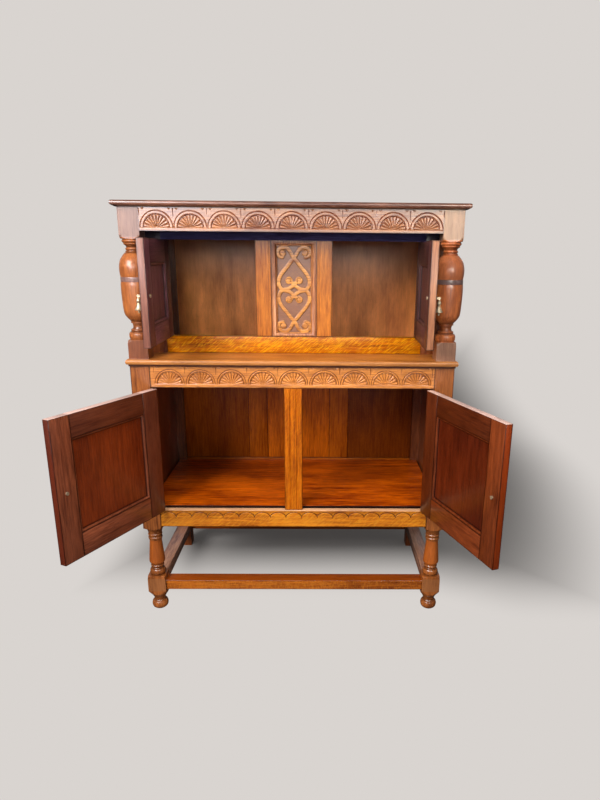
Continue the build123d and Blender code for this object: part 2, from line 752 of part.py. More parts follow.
def fixed_pieces():
    """Every piece of the standing frame, by name, before it is jointed together."""
    stretcher = side_stretcher()
    side_rails = carcass_side_rails()
    side_panel = carcass_side_panel()
    hood_side = hood_side_rail()
    floor = cupboard_floor()
    muntin = centre_muntin()
    strike = door_strike()
    base_rail = cross_rail(front_inner, 0, rail_thick, base_rail_bottom, base_rail_top)
    frieze = cross_rail(front_inner, 0, rail_thick, frieze_bottom, carcass_top)
    hood_frieze = cross_rail(front_inner, 0, rail_thick, hood_rail_bottom, hood_top)
    front_rail = front_stretcher()
    back_rail = back_stretcher()
    back_members = back_frame()
    thin_panels = back_panels()
    soffit = soffit_board()
    recess_base = cross_rail(hanging_inner, recess_front, recess_back, shelf_top, recess_base_top)
    recess_head = cross_rail(hanging_inner, recess_front, recess_back, recess_head_bottom, hood_top)
    stile = centre_stile()
    carved = carved_panel()
    upper_panel = upper_side_panel()
    upper_back = upper_back_boards()
    upper_rail = cross_rail(back_inner, back_frame_front, back_frame_front + back_frame_thick,
                            hood_rail_bottom, hood_top)
    leg = front_leg()
    rear_leg = back_leg()
    post = column()
    hanging = cut(hanging_stile(), [recess_base, recess_head, hood_side, upper_panel, soffit])
    shelf_mates = both(leg) + both(post) + both(hanging) + both(upper_panel) + upper_back
    leg = cut(leg, [front_rail, stretcher, base_rail, frieze, side_panel] + side_rails)
    rear_mates = [stretcher, back_rail, side_panel, hood_side, upper_panel, upper_rail]
    cap_mates = both(post) + both(rear_leg)
    rear_leg = cut(rear_leg, rear_mates + side_rails + back_members + thin_panels + upper_back)
    hinges = []
    for edge, face, heights in ((lower_hinge_edge, 0, lower_hinge_heights),
                                (upper_hinge_edge, recess_front, upper_hinge_heights)):
        for height in heights:
            hinges += both(Pos(edge, face, 0) * fixed_leaf(height))
    pairs = {
        "front_leg": [leg],
        "back_leg": [rear_leg],
        "side_stretcher": [stretcher],
        "lower_side_rails": [cut(rail, [side_panel, floor]) for rail in side_rails],
        "lower_side_panel": [side_panel],
        "column": [cut(post, [hood_frieze, hood_side])],
        "hood_side_rail": [cut(hood_side, [upper_panel])],
        "hanging_stile": [hanging],
        "centre_stile": [cut(stile, [carved])],
        "upper_side_panel": [upper_panel],
    }
    pieces = {
        "front_stretcher": [front_rail],
        "back_stretcher": [back_rail],
        "base_rail": [cut(base_rail, [muntin, floor])],
        "lower_frieze_rail": [cut(frieze, [muntin])],
        "centre_muntin": [cut(muntin, both(strike))],
        "lower_back_frame": [cut(member, thin_panels + [floor]) for member in back_members],
        "lower_back_panels": thin_panels,
        "cupboard_floor": [floor],
        "shelf_board": [cut(shelf_board(), shelf_mates)],
        "upper_frieze_rail": [cut(hood_frieze, [soffit])],
        "soffit_board": [soffit],
        "top_board": [cut(cap_board(), cap_mates)],
        "recess_base_rail": [cut(recess_base, both(stile) + [carved])],
        "recess_head_rail": [cut(recess_head, both(stile) + [carved, soffit])],
        "carved_panel": [carved],
        "panel_mouldings": panel_mouldings(),
        "upper_back_rail": [cut(upper_rail, upper_back)],
        "upper_back_boards": upper_back,
        "hinge_leaves_fixed": hinges,
        "door_strikes": both(strike),
    }
    for name, solids in pairs.items():
        pieces[f"{name}_right"] = solids
        pieces[f"{name}_left"] = [other_side(solid) for solid in solids]
    return pieces


def all_pieces():
    """The standing frame and the four open doors."""
    pieces = fixed_pieces()
    lower = door_set(lower_door_width, lower_door_bottom, lower_door_top, lower_stile, lower_door_base,
                     lower_door_head, lower_handle_in, lower_handle_height, lower_hinge_heights)
    upper = door_set(upper_door_width, upper_door_bottom, upper_door_top, upper_stile, upper_door_base,
                     upper_door_head, upper_handle_in, upper_handle_height, upper_hinge_heights)
    hang_door(pieces, "lower_door_left", lower, lower_hinge_edge, 0, lower_left_angle, "left")
    hang_door(pieces, "lower_door_right", lower, lower_hinge_edge, 0, lower_right_angle, "right")
    hang_door(pieces, "upper_door_left", upper, upper_hinge_edge, recess_front, upper_left_angle, "left")
    hang_door(pieces, "upper_door_right", upper, upper_hinge_edge, recess_front, upper_right_angle, "right")
    return pieces


def centring(pieces):
    """The move that puts the middle of the whole piece's footprint at the origin."""
    box = Compound([solid for group in pieces.values() for solid in group]).bounding_box()
    return Pos(-box.center().X, -box.center().Y, -box.min.Z)


os.makedirs("parts", exist_ok=True)
all_solids = all_pieces()
move = centring(all_solids)
for name, solids in all_solids.items():
    export_step(move * Compound(solids), f"parts/{name}.step")
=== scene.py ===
import bpy
import bmesh
import json
import numpy as np
from math import radians, pi
from mathutils import Matrix, Vector


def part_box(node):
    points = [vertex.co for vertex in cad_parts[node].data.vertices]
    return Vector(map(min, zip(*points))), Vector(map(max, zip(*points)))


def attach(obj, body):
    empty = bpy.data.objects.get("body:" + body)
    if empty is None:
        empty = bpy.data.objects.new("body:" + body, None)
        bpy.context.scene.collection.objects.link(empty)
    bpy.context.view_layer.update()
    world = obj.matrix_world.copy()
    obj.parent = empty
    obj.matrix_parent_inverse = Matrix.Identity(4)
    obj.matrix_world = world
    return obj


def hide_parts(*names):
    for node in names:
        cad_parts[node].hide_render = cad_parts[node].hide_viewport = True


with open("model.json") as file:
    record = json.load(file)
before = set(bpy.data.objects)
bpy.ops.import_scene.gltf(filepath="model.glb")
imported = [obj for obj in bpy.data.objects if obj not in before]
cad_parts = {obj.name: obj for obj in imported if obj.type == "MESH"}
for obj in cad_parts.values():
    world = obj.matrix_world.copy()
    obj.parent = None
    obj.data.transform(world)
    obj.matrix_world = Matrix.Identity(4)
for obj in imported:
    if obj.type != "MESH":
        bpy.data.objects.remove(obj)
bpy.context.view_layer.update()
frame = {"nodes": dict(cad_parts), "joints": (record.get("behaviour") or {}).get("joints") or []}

# Lengths are in millimetres from the middle of the front, like the solids: X right, Y back, Z up.
BOARD_BACK = 622  # from the front of the posts to the back edge of the top board
top_low, top_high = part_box("top_board")
ORIGIN = np.array([(top_low.x + top_high.x) / 2 * 1000, top_high.y * 1000 - BOARD_BACK, 0])


def into_frame(points):
    """Points of the drawing, in millimetres, as places in the frame, in metres."""
    return (points + ORIGIN) / 1000


def extent(node):
    """The lowest and the highest corner of a node, in the drawing's millimetres."""
    return [np.round(np.array(corner) * 1000 - ORIGIN, 2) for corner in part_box(node)]


# ---- places read from the solids

post_low, post_high = extent("front_leg_right")
POST_HALF = (post_high[0] - post_low[0]) / 2
POST_MIDDLE = (post_high[0] + post_low[0]) / 2
POST_BACK = post_high[1]
BETWEEN_POSTS = post_low[0]  # from the middle of the front to a post
BETWEEN_BACK_LEGS, BACK_LEG_FRONT = extent("back_leg_right")[0][:2]

shelf_low, shelf_high = extent("shelf_board")
board_low, board_high = extent("top_board")
CARCASS_TOP, SHELF_TOP, HOOD_TOP = shelf_low[2], shelf_high[2], board_low[2]

base_low, base_high = extent("base_rail")
frieze_low, frieze_high = extent("lower_frieze_rail")
recess_low, recess_high = extent("recess_base_rail")
RECESS_FRONT, RECESS_HEAD_BOTTOM = recess_low[1], extent("recess_head_rail")[0][2]

# How far a piece runs on into the next, so that no gap shows: a rail into a post or a rail, and a panel
LET_IN, OVERLAP, TUCK = 0.5, 0.2, 1


def put(name, data):
    """A new object in the scene."""
    thing = bpy.data.objects.new(name, data)
    bpy.context.scene.collection.objects.link(thing)
    return thing


# ---- surfaces

class Piece:
    """One mesh gathered from closed surfaces, each with its own run of grain."""

    made = 0

    def __init__(self, move=lambda points: points):
        self.move = move
        self.points, self.faces, self.smooth = [], [], []
        self.marks = {"grain": [], "seat": [], "half": [], "wear_and_light": []}
        self.count = 0

    def add(self, points, blocks, along, smooth=False, wear_and_light=None):
        """Add a surface from its points and blocks of faces.

        along is the order of axes with the grain's own direction first. grain is the place in that order,
        with a shift of its own for each surface. seat runs from -1 to 1 across the surface's box, whose half
        size is half. The last argument is 1 where the wood is free of wax and fully lit; it is lower where
        old wax fills it, and where shade is painted, as on the outer lower back panels.
        """
        Piece.made += 1
        shift = np.array([0.37, 0.61, 0.83]) * Piece.made
        order = ["xyz".index(axis) for axis in along]
        half = np.maximum(np.ptp(points, axis=0), 1e-3) / 2
        self.marks["grain"].append(points[:, order] / 1000 + shift % 7)
        self.marks["seat"].append((points - points.min(axis=0)) / half - 1)
        self.marks["half"].append(np.broadcast_to(half, points.shape))
        self.marks["wear_and_light"].append(np.ones(len(points)) if wear_and_light is None else wear_and_light)
        self.points.append(into_frame(self.move(points)))
        for block in blocks:
            self.faces += (block + self.count).tolist()
            self.smooth += [smooth] * len(block)
        self.count += len(points)

    def finish(self, node, material, slot, body="carcass", name=None):
        """Make the mesh, turn its faces outwards, and let it ride on its body in the place of its node."""
        name = name or f"shown_{node}"
        mesh = bpy.data.meshes.new(name)
        mesh.from_pydata(np.vstack(self.points).tolist(), [], self.faces)
        for label, rows in self.marks.items():
            values = np.concatenate(rows).astype(np.float32)
            kind, field = ("FLOAT_VECTOR", "vector") if values.ndim == 2 else ("FLOAT", "value")
            mesh.attributes.new(label, kind, "POINT").data.foreach_set(field, values.ravel())
        work = bmesh.new()
        work.from_mesh(mesh)
        bmesh.ops.recalc_face_normals(work, faces=work.faces)
        work.to_mesh(mesh)
        work.free()
        mesh.polygons.foreach_set("use_smooth", self.smooth)
        mesh.set_sharp_from_angle(angle=radians(32))
        mesh.materials.append(material)
        thing = put(name, mesh)
        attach(thing, body)
        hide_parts(node)


def strips(rings, points_round, loop):
    """Quads between neighbouring rings of points, as one array of corner numbers."""
    row = np.arange(rings if loop else rings - 1)[:, None]
    col = np.arange(points_round)[None, :]
    up = (row + 1) % rings
    side = (col + 1) % points_round
    quads = np.stack(np.broadcast_arrays(row * points_round + col, row * points_round + side,
                                         up * points_round + side, up * points_round + col), -1)
    return quads.reshape(-1, 4)


def loft(piece, rings, along, smooth=False, loop=False, wear_and_light=None):
    """A closed skin through rings of points, capped at both ends or joined into a loop."""
    count, points_round = rings.shape[:2]
    blocks = [strips(count, points_round, loop)]
    if not loop:
        cap = np.arange(points_round)[None]
        blocks += [cap, cap + (count - 1) * points_round]
    piece.add(rings.reshape(-1, 3), blocks, along, smooth, wear_and_light)


def plank(piece, low, high, along, arris=1.2, wear_and_light=1.0):
    """A squared board between two corners: rings across the grain, with edges rounded by about arris.

    The first and last three rings draw in by the same arris, so the ends are rounded over too. Each corner
    of a ring is a quarter circle in four points about a middle that lies radius + inset inside both faces.
    """
    low, high = np.array(low, float), np.array(high, float)
    a, b, c = ["xyz".index(axis) for axis in along]
    draw = arris * np.array([1, 0.3, 0, 0, 0.3, 1])
    place = arris * np.array([0, 0.3, 1, -1, -0.3, 0]) + np.repeat([low[a], high[a]], 3)
    quarter = np.radians([0, 30, 60, 90])
    rings = np.zeros((6, 16, 3))
    for ring, inset, at in zip(rings, draw, place):
        radius = arris - inset * 0.7
        ring[:, a] = at
        for start, (sign_b, sign_c) in enumerate([(1, 1), (-1, 1), (-1, -1), (1, -1)]):
            arc = ring[4 * start:4 * start + 4]
            angle = quarter + start * pi / 2
            face_b, face_c = (high if sign_b > 0 else low)[b], (high if sign_c > 0 else low)[c]
            arc[:, b] = face_b - sign_b * (radius + inset) + radius * np.cos(angle)
            arc[:, c] = face_c - sign_c * (radius + inset) + radius * np.sin(angle)
    loft(piece, rings, along, wear_and_light=np.full(rings.size // 3, wear_and_light))


def run_points(run, steps=6):
    """A smooth run through its points, as a Catmull-Rom curve; two points stay a straight line."""
    run = np.array(run, float)
    if len(run) < 3:
        return run
    ends = np.vstack([2 * run[0] - run[1], run, 2 * run[-1] - run[-2]])
    t = np.linspace(0, 1, steps, endpoint=False)[:, None]
    parts = []
    for p0, p1, p2, p3 in zip(ends[:-3], ends[1:-2], ends[2:-1], ends[3:]):
        parts.append(0.5 * (2 * p1 + (p2 - p0) * t + (2 * p0 - 5 * p1 + 4 * p2 - p3) * t ** 2
                            + (3 * p1 - p0 - 3 * p2 + p3) * t ** 3))
    return np.vstack(parts + [run[-1:]])


def turning(piece, runs, x, y, foot=0, half=np.inf, squares=(), round_steps=72):
    """A turning about an upright axis, with its blocks left square.

    The runs give the radius against the height over foot. Between the heights of each pair in squares, a ring
    is the smaller of that radius and a square of the given half width. Wax fills a place by how far its
    radius falls short of the largest one within reach above or below it.
    """
    reach, filled = 9, 11
    profile = np.vstack([run_points(run) for run in runs]) + [foot, 0]
    height, radius = profile[:, :1], profile[:, 1:]
    angle = np.linspace(0, 2 * pi, round_steps, endpoint=False) + pi / 4
    square = half / np.maximum(np.abs(np.cos(angle)), np.abs(np.sin(angle)))
    is_square = np.zeros(height.shape, bool)
    for low, high in squares:
        is_square |= (height >= low) & (height <= high)
    rings = np.where(is_square, np.minimum(radius, square), radius)
    points = np.stack([x + rings * np.cos(angle), y + rings * np.sin(angle),
                       np.broadcast_to(height, rings.shape)], -1)
    stands = np.minimum(profile[:, 1], half)
    shelter = np.where(np.abs(height - height.T) < reach, stands, 0).max(axis=1)
    wear_and_light = np.repeat(1 - 0.75 * np.clip((shelter - stands) / filled, 0, 1), round_steps)
    loft(piece, points, "zxy", smooth=True, wear_and_light=wear_and_light)


def edged_board(piece, low, high, profile):
    """A board whose front and sides follow a profile of (set-back, height) while its back is square."""
    rings = [[(low[0] + back, low[1] + back, low[2] + rise), (high[0] - back, low[1] + back, low[2] + rise),
              (high[0] - back, high[1], low[2] + rise), (low[0] + back, high[1], low[2] + rise)]
             for back, rise in profile]
    loft(piece, np.array(rings, float), "xyz")


def rectangles(piece, left, right, low, high, y, loop=False, wear_and_light=None):
    """A skin through upright rectangles at the depths y, closed into a frame where loop is set."""
    rings = np.stack([(left, y, low), (right, y, low), (right, y, high), (left, y, high)]).transpose(2, 0, 1)
    loft(piece, rings, "zxy", loop=loop, wear_and_light=wear_and_light)


def section_bar(piece, section, start, end, along):
    """A bar with one cross-section from end to end; the section is in the two other axes."""
    axis, b, c = ["xyz".index(letter) for letter in along]
    rings = np.zeros((2, len(section), 3))
    rings[:, :, axis] = [[start], [end]]
    rings[:, :, [b, c]] = section
    loft(piece, rings, along)


def relief(piece, low, high, carve, step):
    """A board with a carved front: a fine grid pushed back by the carving, joined to a flat back."""
    wide, tall = [int((high[axis] - low[axis]) / step) + 1 for axis in (0, 2)]
    x, z = np.meshgrid(np.linspace(low[0], high[0], wide), np.linspace(low[2], high[2], tall))
    depth, wear_and_light = carve(x, z)
    depth[[0, -1]] = 0
    depth[:, [0, -1]] = 0
    front = np.stack([x, low[1] + depth, z], -1).reshape(-1, 3)
    number = np.arange(wide * tall).reshape(tall, wide)
    quads = np.stack([number[:-1, :-1], number[:-1, 1:], number[1:, 1:], number[1:, :-1]], -1).reshape(-1, 4)
    rim = np.concatenate([number[0, :-1], number[:-1, -1], number[-1, :0:-1], number[:0:-1, 0]])
    back = front[rim].copy()
    back[:, 1] = high[1]
    base = len(front) + np.arange(len(rim))
    walls = np.stack([rim, base, np.roll(base, -1), np.roll(rim, -1)], -1)
    shade = np.concatenate([wear_and_light.ravel(), np.ones(len(rim))])
    piece.add(np.vstack([front, back]), [quads, walls, base[None]], "xzy", True, shade)


# ---- carving
# Each carving is a function of x and z that gives the depth of the cut and how bare the wood is.

def ease(value):
    """A smooth step from nought to one."""
    value = np.clip(value, 0, 1)
    return value * value * (3 - 2 * value)


def cut_line(distance, width, deep):
    """The depth of a V cut along the line where the distance is nought."""
    return deep * np.clip(1 - np.abs(distance) / (width / 2), 0, 1)


def lunette_frieze(centres, foot, arch, inner_line, fan, head):
    """A row of half-round arches, each over a fan of gouged petals.

    r and turn are the distance and angle about the foot of the nearest arch. V cuts follow r = arch and
    r = inner_line, and a thin one the foot. Inside r = fan the half turn is shared out among the petals: the
    cut is deepest where across is 1, between two petals, and beyond their rounded ends. From the head, a
    dart hangs midway between two arches, with a chip on either side.
    """
    petals = 10
    pitch = centres[1] - centres[0]
    chip_out = 13

    def carve(x, z):
        nearest = np.abs(x[..., None] - centres).argmin(-1)
        u, v = x - centres[nearest], z - foot
        r, turn = np.hypot(u, v), np.arctan2(np.maximum(v, 0), u)
        across = np.abs(2 * ((turn * petals / pi) % 1 - 0.5))
        within = (r < fan) * ease(v / 1.2)
        petal = ease((fan - 0.5 - 3 * across ** 2 - r) / 1.2) * (1 - across ** 3)
        cuts = (1 - petal) * within * ease((r - 1.5) / 3)
        field = 3.0 * cuts + 0.8 * within
        lines = cut_line(r - arch, 3.4, 2.4) + cut_line(r - inner_line, 2.6, 1.7)
        lines = lines * ease((v + 1) / 2) + cut_line(v + 0.5, 1.6, 0.9) * (np.abs(u) < arch)
        along = np.abs(x - centres[0] + pitch / 2) % pitch
        gap = np.minimum(along, pitch - along)
        below = head - z
        dart = cut_line(gap, 3.4 * np.clip((34 - below) / 30, 0.05, 1), 2.4) * (below < 34) * (below > 4)
        spread = np.clip(1 - (below - 2.5) / 6, 0, 1) * (below > 2.5)
        chip = 2.4 * np.clip(1 - np.abs(gap - chip_out) / (6.5 * spread + 0.01), 0, 1) * (spread > 0)
        spandrel = r > arch + 3
        inside = (x > centres[0] - arch - 4) & (x < centres[-1] + arch + 4)
        depth = np.maximum(np.maximum(field, lines), np.maximum(dart, chip) * spandrel) * inside
        marks = np.maximum(np.maximum(lines / 1.5, dart / 1.9), 0.65 * cuts)
        wear_and_light = 1 - 0.85 * np.clip(marks, 0, 1) * inside
        return depth, wear_and_light
    return carve


def scalloped(pitch, springing, rise, top):
    """Round-headed lobes in a row: a V cut follows each arch and the wood above is hollowed a little.

    u is the distance from the middle of a lobe, whose edge is the half ellipse springing + rise times the
    root of 1 - (u / half pitch) squared. The cut is widest in the steep corners between two lobes.
    """

    def carve(x, z):
        u = (x + pitch / 2) % pitch - pitch / 2
        edge = springing + rise * np.sqrt(np.clip(1 - (u / (pitch / 2 - 0.4)) ** 2, 0, 1))
        over = z - edge
        steep = np.clip(np.abs(u) / (pitch / 2), 0, 1) ** 6
        line = 3.2 * ease((over + 0.6) / 1.6) * np.clip(1 - over / (3.6 + 7 * steep), 0, 1)
        hollow = 1.2 * ease(over / 4) * np.clip((top - 4 - z) / 8, 0, 1)
        depth = np.maximum(line, hollow)
        wear_and_light = 1 - np.clip(line / 2.2, 0, 1) - 0.1 * np.clip(hollow, 0, 1)
        return depth, wear_and_light
    return carve


# The straps of one quarter of the panel, in millimetres from its middle
HEART = run_points([(0, 113), (12, 102), (24, 86), (38, 70), (50, 53), (57, 35), (56, 18), (48, 5), (36, -2),
                    (21, -5), (8, -13), (-1, -22), (-11, -30), (-18, -35)], 5)
SCROLL = run_points([(0, 113), (8, 127), (16, 141), (28, 151), (42, 152), (54, 146), (59, 134), (54, 122),
                     (43, 118)], 5)
EYES = [((-19, -35), 13.0, 8.0), ((42, 133), 12.5, 10.5)]  # place, radius, and radius of the scored ring
STRAP_HALF = 6.6
SUNK = 4.2


def from_line(x, v, line):
    """The distance from each place to a line of straight steps."""
    nearest = np.full(x.shape, np.inf)
    for (ax, av), (bx, bv) in zip(line[:-1], line[1:]):
        dx, dv = bx - ax, bv - av
        t = np.clip(((x - ax) * dx + (v - av) * dv) / (dx * dx + dv * dv + 1e-9), 0, 1)
        nearest = np.minimum(nearest, np.hypot(x - ax - t * dx, v - av - t * dv))
    return nearest


def strapwork(middle, half_wide, low, high):
    """Two opposed hearts with scrolls: flat bands stand at the face, and the ground between them is sunk.

    reach is the distance from the nearest strap, eye or border, below nought inside it, and the ground
    drops where it passes nought. Inside, the edges swell away a little and each eye has a scored ring.
    """

    def carve(x, z):
        v = z - middle
        border = np.minimum(np.minimum(half_wide - np.abs(x), z - low), high - z)
        reach, scored = border, 0
        for flip_x, flip_v in ((1, 1), (1, -1), (-1, 1), (-1, -1)):
            px, pv = x * flip_x, v * flip_v
            for line in (HEART, SCROLL):
                reach = np.minimum(reach, from_line(px, pv, line) - STRAP_HALF)
            for (ex, ev), radius, ring in EYES:
                dx, dv = px - ex, pv - ev
                away = np.hypot(dx, dv)
                reach = np.minimum(reach, away - radius)
                open_side = ease((dx + dv * np.sign(ev) + ring * 0.9) / 6)
                scored = np.maximum(scored, 0.8 * cut_line(away - ring, 4.0, 1.0) * open_side)
        ground = np.maximum(ease((reach + 0.4) / 1.4), scored)
        swell = 0.5 * np.clip(1 + reach / 5.9, 0, 1) ** 2 * (border > 0)
        depth = SUNK * ground + swell * (1 - ground)
        wear_and_light = 1 - 0.9 * ground - 0.25 * np.clip(1 + reach / 2.0, 0, 1) * (1 - ground)
        return depth, wear_and_light
    return carve


# ---- shading

class Value:
    """A number inside a material; reckoning with it adds the nodes that work it out."""

    def __init__(self, shade, socket):
        self.shade, self.socket = shade, socket

    def math(self, operation, *values):
        node = self.shade.make("ShaderNodeMath", {"operation": operation}, dict(enumerate(values)))
        return Value(self.shade, node.outputs[0])

    def __add__(self, other):
        return self.math("ADD", self, other)

    def __sub__(self, other):
        return self.math("SUBTRACT", self, other)

    def __rsub__(self, other):
        return self.math("SUBTRACT", other, self)

    def __mul__(self, other):
        return self.math("MULTIPLY", self, other)

    __radd__ = __add__
    __rmul__ = __mul__

    def __pow__(self, power):
        return self.math("POWER", self, power)

    def __abs__(self):
        return self.math("ABSOLUTE", self)

    def __neg__(self):
        return 0.0 - self

    def sine(self):
        return self.math("SINE", self)

    def least(self, other):
        return self.math("MINIMUM", self, other)

    def most(self, other):
        return self.math("MAXIMUM", self, other)

    def step(self, low, high):
        """Rises smoothly from nought at low to one at high."""
        values = {"Value": self, "From Min": low, "From Max": high}
        node = self.shade.make("ShaderNodeMapRange", {"interpolation_type": "SMOOTHSTEP"}, values)
        return Value(self.shade, node.outputs[0])


class Shade:
    """The nodes of a material or of the world, every one made and linked through one method."""

    def __init__(self, owner, output):
        owner.use_nodes = True
        self.tree = owner.node_tree
        self.tree.nodes.clear()
        self.out = self.make(output)

    def make(self, kind, settings=None, values=None):
        node = self.tree.nodes.new(kind)
        for name, value in (settings or {}).items():
            setattr(node, name, value)
        for name, value in (values or {}).items():
            self.feed(node, name, value)
        return node

    def feed(self, node, name, value):
        if isinstance(value, Value):
            value = value.socket
        if isinstance(value, bpy.types.NodeSocket):
            self.tree.links.new(value, node.inputs[name])
        else:
            node.inputs[name].default_value = value

    def blend(self, factor, first, second):
        return self.make("ShaderNodeMixShader", {}, {0: factor, 1: first, 2: second}).outputs[0]


class Finish(Shade):
    """A material with one principled shader."""

    def __init__(self, name):
        self.material = bpy.data.materials.new(name)
        super().__init__(self.material, "ShaderNodeOutputMaterial")
        self.shader = self.make("ShaderNodeBsdfPrincipled")
        self.feed(self.out, "Surface", self.shader.outputs[0])

    def set(self, **values):
        for name, value in values.items():
            self.feed(self.shader, name.replace("_", " "), value)

    def place(self):
        return self.make("ShaderNodeTexCoord").outputs["Object"]

    def attribute(self, name, output="Vector"):
        return self.make("ShaderNodeAttribute", {"attribute_name": name}).outputs[output]

    def parts(self, vector):
        """The three numbers of a vector."""
        return [Value(self, socket) for socket in self.make("ShaderNodeSeparateXYZ", {}, {0: vector}).outputs]

    def mapped(self, vector, **how):
        return self.make("ShaderNodeMapping", {}, {"Vector": vector, **how}).outputs[0]

    def noise(self, vector, scale, detail=2.0, rough=0.5, distortion=0.0):
        values = {"Vector": self.mapped(vector, Scale=scale), "Scale": 1.0, "Detail": detail,
                  "Roughness": rough, "Distortion": distortion}
        return Value(self, self.make("ShaderNodeTexNoise", {}, values).outputs[0])

    def mix(self, factor, first, second):
        values = {0: factor, 6: first, 7: second}
        return self.make("ShaderNodeMix", {"data_type": "RGBA"}, values).outputs[2]

    def bump(self, height, strength, distance):
        values = {"Height": height, "Strength": strength, "Distance": distance}
        self.set(Normal=self.make("ShaderNodeBump", {}, values).outputs[0])

    def glow(self, colour):
        return self.make("ShaderNodeEmission", {}, {"Color": colour}).outputs[0]


def tint(red, green, blue):
    """A colour given the way a screen shows it, as the light it stands for."""
    return tuple(((c / 255 + 0.055) / 1.055) ** 2.4 if c > 10 else c / 255 / 12.92
                 for c in (red, green, blue)) + (1.0,)


def shifted(colour, *shares):
    """A colour with each of its three lights made more or less."""
    return tuple(c * share for c, share in zip(colour, shares)) + (1.0,)


def flecked(shade, colour, grain, cloud, strength, tone):
    """Ray flecks: short stripes of noise drawn out aslant to the grain."""
    slant = shade.mapped(grain, Rotation=(0, 0, radians(-38)))
    stripe = shade.noise(slant, (34, 330, 60), 2.0, 0.5, 0.5)
    return shade.mix((stripe + cloud * 0.35).step(0.47, 0.62) * strength, colour, tone)


def wear_wax_and_painted_light(shade, colour, grain, fibre, flow, edge_tone, ground, narrow_wear_and_light):
    """Wear and painted light on the narrow faces, old wax and painted shade along the edges,
    and old wax in the hollows, with painted shade over some panels.

    The nearer face of each pair lies (1 - |seat|) * half away, in millimetres. One of these three distances
    is nought on any face, so the middle one of them is the distance to the nearest edge.
    """
    seat, half = shade.parts(shade.attribute("seat")), shade.parts(shade.attribute("half"))
    a, b, c = [(1 - abs(across)) * size for across, size in zip(seat, half)]
    edge = a.least(b).most(a.most(b).least(c))
    # The narrow faces take their own tone: wear, and painted light from how they catch the lamps.
    if narrow_wear_and_light:
        narrow = shade.mix(flow, shifted(narrow_wear_and_light, 0.5, 0.45, 0.5), narrow_wear_and_light)
        colour = shade.mix(a.least(c).step(0.4, 1.1), narrow, colour)
    # Towards every edge the colour darkens: old wax, and painted shade in the joints.
    off_edge = (edge + fibre * 5.0).step(0.2, 4.2)
    colour = shade.mix(off_edge * 0.85 + 0.15, edge_tone, colour)
    wear_and_light = Value(shade, shade.attribute("wear_and_light", "Fac"))
    speck = shade.noise(grain, (330, 330, 330), 1.0)
    return shade.mix(wear_and_light + (speck - 0.5) * 0.5 * (1 - wear_and_light), ground, colour)


def banded(shade, colour, rise, flow, zones):
    """Bands of another tone between two heights in metres; a fourth number softens the lower end."""
    crisp = 0.001
    for low, high, tone, *soft in zones:
        blur = soft[0] if soft else crisp
        band = rise.step(low - blur, low + blur) * (1 - rise.step(high - crisp, high + crisp))
        other = shade.mix(flow, shifted(tone, 0.6, 0.55, 0.55), shifted(tone, 1.3, 1.35, 1.3))
        colour = shade.mix(band, colour, other)
    return colour


def oak(name, tone, light=None, ground=None, narrow_wear_and_light=None, along=None, zones=(), waxed_below=None,
        figure=None, contrast=1.0, cloudy=1.4, sheen=0.5, gloss=0.3, rough=0.30):
    """Polished oak: streaks and fibres along the grain, pores, ray flecks, wax and painted shade in joints,
    and wax in carving.

    The colour goes from a dark share of tone to light by the flow, a sum of noises that are all drawn out
    along the grain. New pieces carry their grain; a solid's follows its own axes in the order of along.
    Above waxed_below, in metres, the polish is nearly gone. figure is the strength and tone of the flecks.
    """
    shade = Finish(name)
    grain = shade.attribute("grain")
    if along:
        axes = shade.parts(shade.place())
        values = {i: axes["xyz".index(axis)] for i, axis in enumerate(along)}
        grain = shade.make("ShaderNodeCombineXYZ", {}, values).outputs[0]
    _, across, through = shade.parts(grain)
    warp = shade.noise(grain, (1.6, 14, 14), 3.0)
    ring = ((across + through * 0.8 + warp * 0.06) * 900.0).sine() * 0.5
    fibre = shade.noise(grain, (22, 360, 360), 3.0, 0.65) - 0.5
    thread = shade.noise(grain, (9, 130, 130), 3.0, 0.6, 0.4) - 0.5
    streak = shade.noise(grain, (3.0, 50, 50), 3.0, 0.6, 0.6) - 0.5
    cloud = shade.noise(grain, (3.0, 9, 9), 4.0, 0.6) - 0.5
    pore = shade.noise(grain, (50, 1100, 1100), 1.0).step(0.60, 0.72)
    flow = (ring * 0.10 + fibre * 1.4 + thread * 1.3 + streak * 0.7 + cloud * cloudy) * contrast + 0.5
    flow = flow.least(1.0).most(0.0)
    colour = shade.mix(flow, shifted(tone, 0.40, 0.32, 0.34), light or shifted(tone, 1.6, 2.1, 1.7))
    colour = shade.mix(pore * 0.35, colour, shifted(tone, 0.25, 0.25, 0.25))
    wax_and_shade_tone = shifted(tone, 0.16, 0.16, 0.16)
    if figure:
        colour = flecked(shade, colour, grain, cloud, *figure)
    if not along:
        colour = wear_wax_and_painted_light(shade, colour, grain, fibre, flow, wax_and_shade_tone, ground or wax_and_shade_tone, narrow_wear_and_light)
    polish = sheen
    if zones:
        rise = shade.parts(shade.place())[2]
        colour = banded(shade, colour, rise, flow, zones)
        if waxed_below:
            polish = rise.step(waxed_below, waxed_below + 0.004) * (0.22 - sheen) + sheen
    patch = shade.noise(grain, (6, 16, 16), 3.0)
    shade.set(Base_Color=colour, Roughness=patch * 0.22 + fibre * 0.12 + (rough - 0.08), Coat_Weight=polish,
              Coat_Roughness=rough * 0.6, Specular_IOR_Level=gloss)
    shade.bump(fibre * 0.9 + streak * 0.5 - pore * 0.8, 0.35, 0.0007)
    return shade.material


def aged_brass(name):
    """Aged brass: bright, and browner in patches."""
    shade = Finish(name)
    place = shade.place()
    patch = shade.noise(place, (90, 90, 90), 3.0)
    scratch = shade.noise(place, (600, 600, 120), 2.0)
    colour = shade.mix(patch.step(0.40, 0.75), tint(206, 190, 160), tint(144, 112, 78))
    shade.set(Base_Color=colour, Metallic=0.65, Roughness=patch * 0.25 + scratch * 0.1 + 0.26)
    shade.bump(scratch + patch * 0.5, 0.15, 0.0003)
    return shade.material
